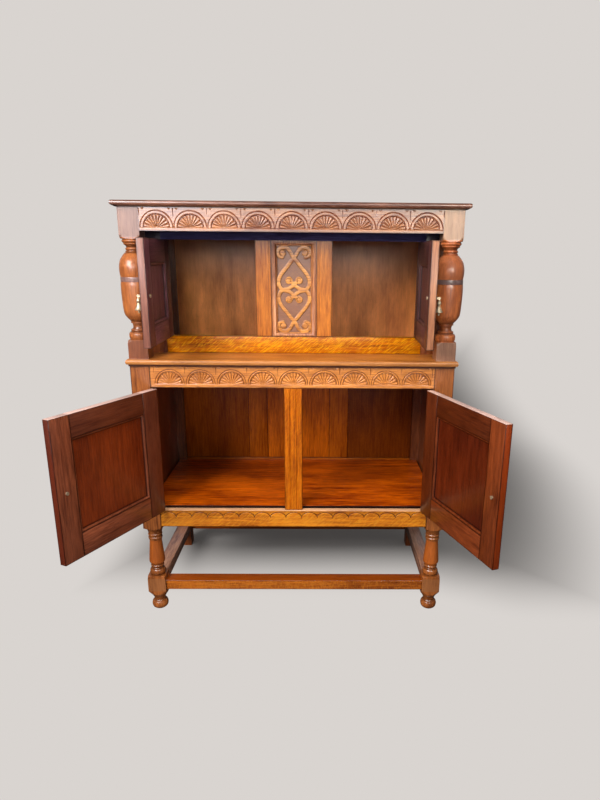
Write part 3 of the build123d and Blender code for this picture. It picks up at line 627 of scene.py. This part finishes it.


# ---- finishes of the cupboard
# Zones mark a lip, an upper face or a ring of a turning by its heights in metres; some of them are painted
# highlight or painted shade, as noted.

looks = {
    "upper_frieze": oak(
        "oak_upper_frieze", tint(148, 84, 54), ground=tint(112, 46, 32), sheen=0.8, rough=0.38),
    "lower_frieze": oak(
        "oak_lower_frieze", tint(199, 112, 54), ground=tint(90, 30, 12), sheen=0.4, contrast=0.7),
    # The pale band along the rail's top edge is a painted highlight.
    "base_rail": oak(
        "oak_base_rail", tint(186, 94, 16), figure=(0.5, tint(226, 150, 34)), sheen=0.2,
        ground=tint(52, 18, 6), zones=[(0.4365, 0.6, tint(240, 184, 140))]),
    "recess_rail": oak(
        "oak_recess_rail", tint(176, 84, 0), figure=(0.6, tint(228, 164, 8)), sheen=0.1,
        gloss=0.1),
    # On the shelf's edge the nose is a paler painted highlight, and the fillet under it is painted shade.
    "board": oak(
        "oak_board", tint(176, 88, 24), light=tint(222, 140, 62), sheen=0.2, gloss=0.15, contrast=0.8,
        zones=[(0.999, 1.0225, tint(184, 118, 62)), (0.997, 1.0058, tint(80, 40, 22))]),
    # The dark band under the top board's nose is painted shade.
    "top": oak(
        "oak_top_board", tint(90, 48, 38), light=tint(146, 97, 78), sheen=0.9, waxed_below=1.5515,
        zones=[(1.53, 1.5392, tint(56, 32, 28))]),
    "muntin": oak(
        "oak_muntin", tint(178, 80, 5), figure=(0.3, tint(214, 134, 16)), sheen=0.15, gloss=0.15),
    "stile": oak(
        "oak_stile", tint(178, 84, 30), light=tint(218, 132, 44), sheen=0.2, gloss=0.15, contrast=0.8),
    "moulding": oak("oak_moulding", tint(172, 98, 62), sheen=0.3),
    "carved": oak("oak_carved", tint(200, 120, 54), ground=tint(124, 84, 68), sheen=0.3, contrast=0.8),
    "column_left": oak(
        "oak_column", tint(156, 80, 42), sheen=0.6, rough=0.36, contrast=0.8, waxed_below=1.438,
        zones=[(1.2915, 1.3075, tint(130, 96, 90)), (1.439, 1.6, tint(136, 100, 86)),
               (1.0, 1.0895, tint(126, 68, 38))]),
    # The right column is a brighter, redder copy of the left, painted for the light that falls on it; the
    # zone over its upper dome is a paler painted sheen.
    "column_right": oak(
        "oak_right_column_painted_light", tint(186, 93, 54), sheen=0.65, rough=0.32, contrast=0.8, waxed_below=1.438,
        zones=[(1.2915, 1.3075, tint(120, 92, 88)), (1.439, 1.6, tint(158, 117, 88)),
               (1.309, 1.392, tint(188, 106, 63)), (1.0, 1.0895, tint(155, 107, 82))]),
    "leg": oak(
        "oak_leg", tint(126, 62, 30), light=tint(190, 110, 50), contrast=0.8,
        zones=[(0.197, 0.303, tint(172, 88, 30)), (0.084, 0.140, tint(150, 92, 52))]),
    # The side stretchers' pinkish tone is a painted reflection of the pale wall behind.
    "side_stretcher": oak("oak_side_stretcher_painted_sheen", tint(168, 107, 92), sheen=1.0),
    "stretcher": oak(
        "oak_stretcher", tint(158, 74, 16), figure=(0.4, tint(200, 120, 32)), sheen=0.2,
        zones=[(0.1285, 0.2, tint(140, 62, 8))]),
    # Each lower door's top edge is a pale painted highlight.
    "lower_door_left": oak(
        "oak_left_door", tint(100, 38, 21), light=tint(182, 99, 64), narrow_wear_and_light=tint(100, 40, 21),
        ground=tint(52, 12, 5), contrast=0.7, sheen=0.35, zones=[(0.9181, 1.0, tint(216, 178, 168))]),
    "lower_door_left_panel": oak(
        "oak_left_door_panel", tint(115, 33, 9), light=tint(164, 68, 24), contrast=0.8),
    "lower_door_right": oak(
        "oak_right_door", tint(88, 32, 11), light=tint(144, 68, 32), narrow_wear_and_light=tint(152, 58, 11),
        ground=tint(40, 10, 5), contrast=0.8, sheen=0.3, gloss=0.2,
        zones=[(0.9181, 1.0, tint(216, 178, 168))]),
    "lower_door_right_panel": oak(
        "oak_right_door_panel", tint(72, 18, 7), light=tint(107, 39, 15), contrast=0.8),
    # The upper doors' dark, purplish tone is painted shade with a bluish cast.
    "upper_door_left": oak(
        "oak_upper_left_door_painted_shade", tint(88, 44, 53), light=tint(141, 87, 97), narrow_wear_and_light=tint(150, 96, 78),
        sheen=0.15, rough=0.42),
    "upper_door_right": oak(
        "oak_upper_right_door_painted_shade", tint(66, 32, 31), light=tint(109, 65, 62), narrow_wear_and_light=tint(184, 122, 84),
        sheen=0.15, rough=0.42),
    "back_frame": oak("oak_back_frame", tint(168, 76, 10), sheen=0.1, gloss=0.1, contrast=0.8),
    "back": oak("oak_back", tint(196, 90, 12), sheen=0.1, gloss=0.1, contrast=0.8, ground=tint(70, 24, 6)),
    "inside_rail": oak("oak_inside_level", tint(128, 52, 10), along="xyz", sheen=0.1, gloss=0.1),
    # From 1.33 m up the upper back boards turn a cooler, greyer tone: painted shade.
    "back_board": oak(
        "oak_upper_back", tint(218, 125, 74), along="zxy", sheen=0.1, gloss=0.1, contrast=0.2, cloudy=9.0,
        zones=[(1.33, 1.7, tint(186, 134, 100), 0.12)]),
    # The dark zone below the cupboard floor's top face is painted shade on its front edge.
    "floor": oak(
        "oak_floor", tint(178, 58, 1), along="xyz", sheen=0.1, gloss=0.1, light=tint(230, 104, 5),
        contrast=1.3, zones=[(0.3, 0.4485, tint(44, 20, 14))]),
    # The soffit's dark blue is painted shade.
    "soffit": oak("oak_soffit_painted_shade", tint(60, 50, 90), along="xyz", sheen=0.0, gloss=0.0, rough=0.7),
    "side_rail": oak("oak_side_rail", tint(118, 54, 26), along="yxz", sheen=0.15, gloss=0.15),
    # The hood rails' dark tone is painted shade.
    "hood": oak("oak_hood_rail_painted_shade", tint(56, 32, 34), along="yxz", sheen=0.0, gloss=0.0, rough=0.7),
    # The dark blue zone at the hanging stiles' heads is painted shade.
    "hanging": oak(
        "oak_hanging_stile", tint(118, 54, 26), along="zxy", sheen=0.2, gloss=0.15,
        zones=[(1.434, 1.6, tint(46, 36, 56))]),
    "side_panel": oak("oak_side_panel", tint(118, 54, 26), along="zxy"),
    "brass": aged_brass("brass"),
}

# Solids that keep their own shape, by words of their names
plain = {
    "inside_rail": ["upper_back_rail", "back_stretcher"], "back_board": ["upper_back_boards"],
    "floor": ["cupboard_floor"], "soffit": ["soffit_board", "recess_head_rail"],
    "side_rail": ["lower_side_rails"], "hood": ["hood_side_rail"], "hanging": ["hanging_stile"],
    "side_panel": ["lower_side_panel", "upper_side_panel", "back_leg"],
    "brass": ["hinge", "handle", "strike"],
}

for node, thing in frame["nodes"].items():
    for key, words in plain.items():
        if any(word in node for word in words):
            thing.data.materials.clear()
            thing.data.materials.append(looks[key])

# ---- standing frame

# Turned members as runs of (height, radius); each run is smooth, and the wood steps in or out between runs.
SQUARE = 49.2  # the corners of a square block, just taken off
LEG = [
    [(0, 24), (6, 29.5), (17, 32), (28, 29.5), (33, 24)],
    [(33, 24), (40, 21.5), (57, 28.5), (72, 40), (84, SQUARE)],
    [(84, SQUARE), (140, SQUARE)],
    [(140, SQUARE), (147, 46.5), (151, 41)],
    [(151, 27), (156, 29.6), (163, 30.3), (170, 29.6), (175, 27)],
    [(175, 24), (178, 24)],
    [(178, 23), (181, 21.2), (184, 23)],
    [(184, 23.5), (189, 26), (194, 23.5)],
    [(194, 25), (197, 25)],
    [(197, 25), (204, 29.5), (212, 30.5), (245, 28), (285, 24.5), (303, 23.5)],
    [(303, 25.5), (306, 25.5)],
    [(306, 25.5), (311, 27.5), (316, 25.5)],
    [(316, 24), (320, 24)],
    [(320, 25.5), (325, 27.5), (330, 25.5)],
    [(330, 24.5), (333, 24.5)],
    [(333, 26), (342, 28.5), (352, 34), (360, SQUARE)],
    [(360, SQUARE), (CARCASS_TOP, SQUARE)],
]
COLUMN_LONG = HOOD_TOP - SHELF_TOP
BASE_BLOCK, PENDANT = 67, 410  # heights over the shelf where the lower square ends, the upper starts
COLUMN = [
    [(0, SQUARE), (56, SQUARE)],
    [(56, SQUARE), (62, 46), (66, 41)],
    [(66, 33), (68, 33)],
    [(68, 33), (74, 35.4), (81, 36), (88, 35.2), (93, 32)],
    [(93, 28), (96, 28)],
    [(96, 27), (100, 28.4), (104, 26)],
    [(104, 22), (113, 20), (125, 22)],
    [(125, 26.5), (129, 26.5)],
    [(129, 25), (134, 28), (141, 35), (154, 44), (170, 47.8), (204, 50), (231, 51), (255, 51), (267, 50)],
    [(267, 48.4), (269, 49.8), (282, 49.8), (284, 48.4)],
    [(284, 49), (299, 51.2), (317, 51.6), (332, 49), (342, 45.6), (351, 40), (359, 34), (365, 28)],
    [(365, 25), (368, 26.6), (371, 25)],
    [(371, 22.5), (372.5, 22.5)],
    [(372.5, 23.5), (377, 26), (381.5, 23.5)],
    [(381.5, 21.8), (386, 23.4), (391, 28.5)],
    [(391, 30), (393.8, 31.8), (396.5, 30)],
    [(396.5, 31.5), (402.5, 36.2), (408.5, 33.5)],
    [(408.5, 33), (PENDANT, 33)],
    [(PENDANT, 41), (414, 45), (422, SQUARE)],
    [(422, SQUARE), (COLUMN_LONG, SQUARE)],
]
# Sections, from the piece's own lowest corner; the muntin's is its right half, from the middle
STILE_SECTION = [(0, 0), (8, 0), (8.6, 1.5), (9.6, 1.5), (10.2, 0), (56.7, 0), (57.5, 0.8), (57.5, 24),
                 (0, 24)]
STRETCHER_SECTION = [(2, 0), (53, 0), (55, 2), (55, 39), (53, 41), (3, 41), (1, 40.2), (0, 38.4), (0, 35),
                     (1.3, 34.4), (1.3, 32.6), (0, 32), (0, 2)]
MUNTIN_HALF_SECTION = [(33.5, 24), (33.5, 1), (32.5, 0), (13.8, 0), (12.6, 1.9), (11.4, 1.9), (10.2, 0)]

for side, sign in (("left", -1), ("right", 1)):
    leg = Piece()
    turning(leg, LEG, sign * POST_MIDDLE, POST_HALF, half=POST_HALF, squares=[(0, CARCASS_TOP)])
    leg.finish(f"front_leg_{side}", looks["leg"], "oak_frame")
    column = Piece()
    turning(column, COLUMN, sign * POST_MIDDLE, POST_HALF, foot=SHELF_TOP, half=POST_HALF,
            squares=[(SHELF_TOP, SHELF_TOP + BASE_BLOCK), (SHELF_TOP + PENDANT, HOOD_TOP)])
    column.finish(f"column_{side}", looks[f"column_{side}"], "oak_frame")
    stretcher = Piece()
    low, high = extent(f"side_stretcher_{side}")
    low[1], high[1] = POST_BACK - LET_IN, BACK_LEG_FRONT + LET_IN
    plank(stretcher, low, high, "yxz", arris=2.0)
    stretcher.finish(f"side_stretcher_{side}", looks["side_stretcher"], "oak_frame")
    stile = Piece()
    inner = extent("centre_stile_right")[0][0]
    section = (np.array(STILE_SECTION) + [inner, RECESS_FRONT]) * [sign, 1]
    section_bar(stile, section, recess_high[2], RECESS_HEAD_BOTTOM, "zxy")
    stile.finish(f"centre_stile_{side}", looks["stile"], "oak_frame")

bar = Piece()
bar_low = extent("front_stretcher")[0]
reach = BETWEEN_POSTS + LET_IN
section_bar(bar, np.array(STRETCHER_SECTION) + bar_low[1:], -reach, reach, "xyz")
bar.finish("front_stretcher", looks["stretcher"], "oak_frame")

muntin = Piece()
mirrored_half = [(-x, y) for x, y in MUNTIN_HALF_SECTION[::-1]]
foot, head = base_high[2] - OVERLAP, frieze_low[2] + OVERLAP
section_bar(muntin, MUNTIN_HALF_SECTION + mirrored_half, foot, head, "zxy")
muntin.finish("centre_muntin", looks["muntin"], "oak_frame")


def carved_rail(node, key, carve, step):
    """A rail between the posts, with its face carved."""
    low, high = extent(node)
    low[0], high[0] = -BETWEEN_POSTS, BETWEEN_POSTS
    rail = Piece()
    relief(rail, low, high, carve, step)
    rail.finish(node, looks[key], "oak_carved", name=f"shown_{key}")


nine = np.arange(-4, 5)
hood_low, hood_high = extent("upper_frieze_rail")
upper = lunette_frieze(nine * 114.0 + 0.5, foot=hood_low[2] + 10, arch=55, inner_line=45, fan=43.5,
                       head=hood_high[2])
carved_rail("upper_frieze_rail", "upper_frieze", upper, step=1.1)
lower = lunette_frieze(nine * 111.8 + 2, foot=frieze_low[2] + 13, arch=52.5, inner_line=46, fan=44,
                       head=frieze_high[2])
carved_rail("lower_frieze_rail", "lower_frieze", lower, step=1.1)
lobes = scalloped(pitch=60.6, springing=base_low[2] + 36, rise=23, top=base_high[2])
carved_rail("base_rail", "base_rail", lobes, step=1.2)

BACK_RAIL_WIDE, BACK_HEAD_WIDE = 60, 69
BACK_MUNTIN_IN, BACK_MUNTIN_OUT = 144, 232  # a back muntin's edges, from the middle
backing = Piece()
(_, front, foot), (_, back, head) = extent("lower_back_frame")
panel_foot, panel_head = foot + BACK_RAIL_WIDE, head - BACK_HEAD_WIDE
muntin_foot, muntin_head = panel_foot - OVERLAP, panel_head + OVERLAP
wide = BETWEEN_BACK_LEGS + OVERLAP
plank(backing, (-wide, front, foot), (wide, back, panel_foot), "xzy", arris=1.0)
plank(backing, (-wide, front, panel_head), (wide, back, head), "xzy", arris=1.0)
for low_x, high_x in ((-BACK_MUNTIN_OUT, -BACK_MUNTIN_IN), (BACK_MUNTIN_IN, BACK_MUNTIN_OUT)):
    plank(backing, (low_x, front, muntin_foot), (high_x, back, muntin_head), "zxy", arris=1.6)
backing.finish("lower_back_frame", looks["back_frame"], "oak_frame")

backing = Piece()
(_, front, _), (_, back, _) = extent("lower_back_panels")
outer, middle = BACK_MUNTIN_OUT - TUCK, BACK_MUNTIN_IN + TUCK
foot, head = panel_foot - TUCK, panel_head + TUCK
# The outer panels are darker than the middle one: painted shade, as the light falls into the middle.
for low_x, high_x, bare_and_lit in ((-BETWEEN_BACK_LEGS, -outer, 0.5), (-middle, middle, 1.0),
                            (outer, BETWEEN_BACK_LEGS, 0.27)):
    plank(backing, (low_x, front + 0.4, foot), (high_x, back, head), "zxy", wear_and_light=bare_and_lit)
backing.finish("lower_back_panels", looks["back"], "oak_panel")

# Edge profiles, as (set-back, height over the board's underside)
THUMB = [(8, 0), (8, 6.6), (3.2, 7), (1, 9.5), (0.1, 13), (0, 17), (0.6, 20), (2.4, 23), (5, 24.6), (8.5, 25)]
NOSING = [(13, 0), (5.4, 4), (2.6, 5.4), (0.8, 7.8), (0, 11), (0, 13.5), (0.9, 16.4), (2.8, 18.6),
          (5.4, 19.7), (8, 20)]
shelf = Piece()
edged_board(shelf, shelf_low, (shelf_high[0], BACK_LEG_FRONT, SHELF_TOP), THUMB)
tongue_low = (-BETWEEN_BACK_LEGS, BACK_LEG_FRONT - TUCK, CARCASS_TOP)
plank(shelf, tongue_low, (BETWEEN_BACK_LEGS, *shelf_high[1:]), "xyz")
shelf.finish("shelf_board", looks["board"], "oak_board")
top = Piece()
edged_board(top, board_low, board_high, NOSING)
top.finish("top_board", looks["top"], "oak_board")

# ---- recess

recess = Piece()
between_stiles = extent("hanging_stile_right")[0][0]
plank(recess, (-between_stiles, *recess_low[1:]), (between_stiles, *recess_high[1:]), "xzy", arris=1.5)
recess.finish("recess_base_rail", looks["recess_rail"], "oak_frame")

panel = Piece()
relief(panel, *extent("carved_panel"), strapwork(middle=1260, half_wide=62.5, low=1102.5, high=1418), 1.15)
panel.finish("carved_panel", looks["carved"], "oak_carved")

# The planted moulding runs round the panel: its section is a share of its width against the depth behind
# the stiles' face, and it is wider at the sides than at the foot and the head.
MOULDING_SECTION = [(0, 0), (0.05, 0), (0.09, 3.4), (0.15, 3.4), (0.20, 0.6), (0.5, 0.9), (0.76, 2.4),
                    (0.82, 4.8), (1, 8.6), (1, 12), (0, 12)]
SIDE_WIDE, FOOT_WIDE, HEAD_WIDE = 20, 13.5, 16
moulding = Piece()
share, depth = np.array(MOULDING_SECTION).T
(_, front, foot), (x, _, head) = extent("panel_mouldings")
x, y = x - SIDE_WIDE * share, front + depth
low, high = foot + FOOT_WIDE * share, head - HEAD_WIDE * share
rectangles(moulding, -x, x, low, high, y, loop=True)
moulding.finish("panel_mouldings", looks["moulding"], "oak_frame")

# ---- doors

# Each door is drawn shut, as a right-hand door: x from the free edge, below nought, to the hinge edge at
# nought, y from the outer face at nought to the inner face, and z in its true place.
DOOR_THICK = 24
PIN_OUT, PIN_FORWARD = 1.5, 5.0  # the hinge pins, from the door's edge and face
# The run moulding and the field of a panel: inset, depth behind the outer face, how bare the wood is
MOULD = [(0, 0, 0.7), (1.2, 0, 0.3), (1.6, 1.4, 0.8), (4, 2.0, 1), (6.6, 4.0, 0.9), (8.2, 7.0, 0.3),
         (9, 7.8, 0.1)]
MOULD_WIDE = MOULD[-1][0]
MOULD += [(inset, DOOR_THICK - depth, bare_and_lit) for inset, depth, bare_and_lit in MOULD[::-1]]
FIELD = [(4.5, 15, 1), (0.6, 15, 0.1), (-5, 15, 0.1), (-5, 10.2, 0.1), (0, 10.2, 0.3), (24, 7.4, 1),
         (24.6, 6.2, 0.6), (26, 6, 1)]
GRIP_FORWARD = 14
DROP = [
    [(-56, 0.3), (-54.5, 2.4), (-52, 3.6), (-49.5, 3.0), (-47.4, 2.0)],
    [(-46.8, 6.0), (-45.4, 10.4), (-43.6, 11.2), (-41.6, 10.0), (-37, 8.0), (-30, 6.2), (-24, 4.4)],
    [(-24, 3.2), (-22.6, 3.2)],
    [(-22.6, 4.6), (-17, 5.6), (-11, 4.4), (-6.6, 2.3), (-4.4, 1.8), (-2.6, 1.7)],
]
DROP_EYE = [(-1.9, 1.7), (-1.9, 3.2), (-1.4, 3.8), (1.4, 3.8), (1.9, 3.2), (1.9, 1.7)]
closed = {joint["name"]: joint["range_deg"][0] for joint in frame["joints"]}


def swung(door, hinge_edge, face):
    """Moves the points of a door drawn shut to where the named door stands open."""
    angle = radians(-closed[f"{door}_hinge"])
    axis = np.array([hinge_edge + PIN_OUT, face - PIN_FORWARD, 0])
    turn = np.array([[np.cos(angle), -np.sin(angle), 0], [np.sin(angle), np.cos(angle), 0], [0, 0, 1]])
    mirror = np.array([-1 if door.endswith("left") else 1, 1, 1])

    def move(points):
        return ((points + [hinge_edge, face, 0] - axis) @ turn.T + axis) * mirror
    return move


def door_frame(door, move, low, high, width, stile, base, head):
    """Two stiles and two rails, and the moulding run round their inner edges on both faces."""
    flat = stile - MOULD_WIDE
    foot, top = low + base - MOULD_WIDE, high - head + MOULD_WIDE
    members = Piece(move)
    plank(members, (-width, 0, low), (flat - width, DOOR_THICK, high), "zxy")
    plank(members, (-flat, 0, low), (0, DOOR_THICK, high), "zxy", wear_and_light=0.5)
    plank(members, (flat - width, 0, low), (-flat, DOOR_THICK, foot), "xzy")
    plank(members, (flat - width, 0, top), (-flat, DOOR_THICK, high), "xzy", wear_and_light=0.5)
    inset, y, bare_and_lit = np.array(MOULD).T
    rectangles(members, flat - width + inset, -flat - inset, foot + inset, top - inset, y, loop=True,
               wear_and_light=np.repeat(bare_and_lit, 4))
    members.finish(f"{door}_frame", looks[door], "oak_frame", body=door)


def door_panel(door, move, low, high, width, stile, base, head):
    """A panel that is flat inside and raised and fielded outside."""
    field = Piece(move)
    inset, y, bare_and_lit = np.array(FIELD).T
    rectangles(field, stile - width + inset, -stile - inset, low + base + inset, high - head - inset, y,
               wear_and_light=np.repeat(bare_and_lit, 4))
    field.finish(f"{door}_panel", looks.get(f"{door}_panel", looks[door]), "oak_panel", body=door)


def handle_drop(door, move, x, z, stout):
    """A turned drop that hangs from its eye, a ring about the cross pin at (x, z)."""
    hanging = Piece(move)
    turning(hanging, [[(height, radius * stout) for height, radius in run] for run in DROP], x, -GRIP_FORWARD,
            foot=z, round_steps=28)
    around = np.radians(np.arange(0, 360, 20))
    aside, radius = np.array(DROP_EYE).T[:, :, None]
    eye = np.broadcast_arrays(x + aside, radius * np.cos(around) - GRIP_FORWARD, z + radius * np.sin(around))
    loft(hanging, np.stack(eye, -1), "zxy", smooth=True, loop=True)
    hanging.finish(f"{door}_handle_drop", looks["brass"], "brass", body=f"{door}_drop")


# Width, widths of stiles, foot rail and head rail, places of hinge edge and outer face, the grip's distance
# from the free edge and its height, and how stout its drop is
for kind, width, stile, base, head, hinge_edge, face, grip_in, grip_rise, stout in (
        ("lower_door", 476.5, 85, 92, 85, 512, 0, 36, 676, 0.74),
        ("upper_door", 337, 75, 78, 84, 480.5, RECESS_FRONT, 31, 1256, 1.15)):
    for side in ("left", "right"):
        door = f"{kind}_{side}"
        move = swung(door, hinge_edge, face)
        low, high = [corner[2] for corner in extent(f"{door}_frame")]
        door_frame(door, move, low, high, width, stile, base, head)
        door_panel(door, move, low, high, width, stile, base, head)
        handle_drop(door, move, grip_in - width, grip_rise, stout)

# ---- floor and wall

STUDIO = tint(217, 212, 208)
backdrop = Finish("backdrop")
place = backdrop.place()
grit = backdrop.noise(place, (3, 3, 3), 3.0)
fine = backdrop.noise(place, (240, 240, 240), 2.0)
# The lit floor is a darker grey than the studio's: where it shows, it paints shadow on top of the shadow the
# lamps cast.
painted_shadow_grey = backdrop.mix(grit * 0.5 + fine * 0.2, tint(147, 144, 143), tint(153, 151, 149))
backdrop.set(Base_Color=painted_shadow_grey, Roughness=0.9, Specular_IOR_Level=0.1)
backdrop.bump(fine, 0.05, 0.0005)

# The camera sees the lit floor, in its darker grey, under the cupboard and where its shadow falls, to the
# right and behind; this mask paints the soft edge of that shadow. Elsewhere it sees the studio's own grey,
# which comes in softly past a curve on the right, before the feet, far behind on the left, and up the wall.
east, north, rise = backdrop.parts(place)
right_of_shadow = (east + (north - 2.14) ** 2.0 * 0.113).step(1.26, 2.06)
before = (-north - east.step(0.5, 1.0) * 0.18).step(-0.585, -0.002)
behind = north.step(0.75, 1.5) * (1 - east.step(0.7, 1.2))
left = (-east).step(0.60, 0.95)
# The share of plain studio grey: where it is low, the darker floor shows as painted shadow.
away = right_of_shadow.most(before).most(behind).most(left).most(rise.step(0.15, 0.75))

# Polish and brass mirror a darker studio: dim low down, dusky above.
rays = backdrop.make("ShaderNodeLightPath").outputs
seen = Value(backdrop, rays["Is Camera Ray"]) * away
lit = backdrop.blend(seen, backdrop.shader.outputs[0], backdrop.glow(STUDIO))
mirrored = backdrop.blend(rise.step(0.3, 1.8), backdrop.glow(tint(30, 27, 26)),
                          backdrop.glow(tint(150, 146, 146)))
backdrop.feed(backdrop.out, "Surface", backdrop.blend(rays["Is Glossy Ray"], lit, mirrored))

# In metres: a floor that bends up into a wall by a quarter circle
FLOOR_FRONT, BEND_START, BEND, WALL_TOP, HALF_WIDE = -5.0, 2.2, 2.0, 7.0, 9.0
bend = np.radians(np.linspace(0, 90, 17))[1:]
y = np.concatenate([[FLOOR_FRONT, BEND_START], BEND_START + BEND * np.sin(bend), [BEND_START + BEND]])
z = np.concatenate([[0, 0], BEND - BEND * np.cos(bend), [WALL_TOP]])
rows = np.stack([np.stack([np.full_like(y, x), y, z], -1) for x in (-HALF_WIDE, HALF_WIDE)], 1)
first = 2 * np.arange(len(rows) - 1)[:, None]
mesh = bpy.data.meshes.new("studio_floor")
mesh.from_pydata(rows.reshape(-1, 3).tolist(), [], (first + [0, 1, 3, 2]).tolist())
mesh.polygons.foreach_set("use_smooth", [True] * len(mesh.polygons))
mesh.materials.append(backdrop.material)
floor = put("studio_floor", mesh)

# ---- light

WARM_WHITE = (1.0, 0.98, 0.95)


def soft_light(name, place, aim, size, watts, colour=WARM_WHITE, diffuse=True, glossy=True, spread=180):
    """A rectangular lamp turned towards a point; places and sizes are in metres."""
    lamp = bpy.data.lights.new(name, "AREA")
    lamp.shape = "RECTANGLE"
    lamp.size, lamp.size_y = size
    lamp.energy, lamp.color, lamp.spread = watts, colour, radians(spread)
    thing = put(name, lamp)
    thing.location = place
    thing.rotation_euler = (Vector(aim) - Vector(place)).to_track_quat("-Z", "Y").to_euler()
    thing.visible_diffuse, thing.visible_glossy = diffuse, glossy


soft_light("key", (-2.0, -2.8, 2.7), (0, 0.1, 0.6), (1.8, 1.4), 165)
soft_light("overhead", (0.3, -2.0, 3.9), (0, 0.2, 0.0), (2.6, 1.2), 72, glossy=False)
soft_light("recess_fill", (0.1, -3.0, 1.75), (0, 0.3, 1.28), (1.2, 0.6), 1.2, glossy=False, spread=24)
for name, place, aim, size, watts, colour in (
        ("left_sheen", (-1.3, -3.2, 1.85), (-0.2, 0, 1.4), (0.9, 0.9), 42, (0.88, 0.90, 1.0)),
        ("middle_sheen", (0.0, -3.25, 1.72), (0, 0, 1.5), (1.8, 0.5), 25, (1.0, 0.92, 0.88)),
        ("right_sheen", (1.35, -3.2, 1.85), (0.2, 0, 1.4), (0.9, 0.9), 44, (1.0, 0.99, 0.88))):
    soft_light(name, place, aim, size, watts, colour, diffuse=False)

PALE_SKY = (0.90, 0.89, 0.88, 1)
world = bpy.data.worlds.new("studio")
sky = Shade(world, "ShaderNodeOutputWorld")
rays = sky.make("ShaderNodeLightPath").outputs
seen = sky.make("ShaderNodeBackground", {}, {"Color": PALE_SKY, "Strength": 0.42}).outputs[0]
for ray, colour, strength in (("Is Glossy Ray", PALE_SKY, 0.10), ("Is Camera Ray", STUDIO, 1.0)):
    other = sky.make("ShaderNodeBackground", {}, {"Color": colour, "Strength": strength}).outputs[0]
    seen = sky.blend(rays[ray], seen, other)
sky.feed(sky.out, "Surface", seen)
bpy.context.scene.world = world

# ---- camera

EYE_POINT = np.array([92.94, -2146.46, 1388.02])
yaw, pitch, roll = radians(-0.81), radians(-16.44), radians(0.54)
forward = Vector((-np.sin(yaw) * np.cos(pitch), np.cos(yaw) * np.cos(pitch), np.sin(pitch)))
level = Vector((np.cos(yaw), np.sin(yaw), 0))
upward = level.cross(forward)
right = np.cos(roll) * level + np.sin(roll) * upward
up = -np.sin(roll) * level + np.cos(roll) * upward
lens = bpy.data.cameras.new("camera")
lens.sensor_width, lens.lens = 36.0, 27.09
lens.shift_x, lens.shift_y = -0.0330, 0.0403
camera = put("camera", lens)
turn = Matrix((right, up, -forward)).transposed().to_4x4()
camera.matrix_world = Matrix.Translation(Vector(into_frame(EYE_POINT))) @ turn
bpy.context.scene.camera = camera
bpy.context.scene.view_settings.view_transform = "Standard"
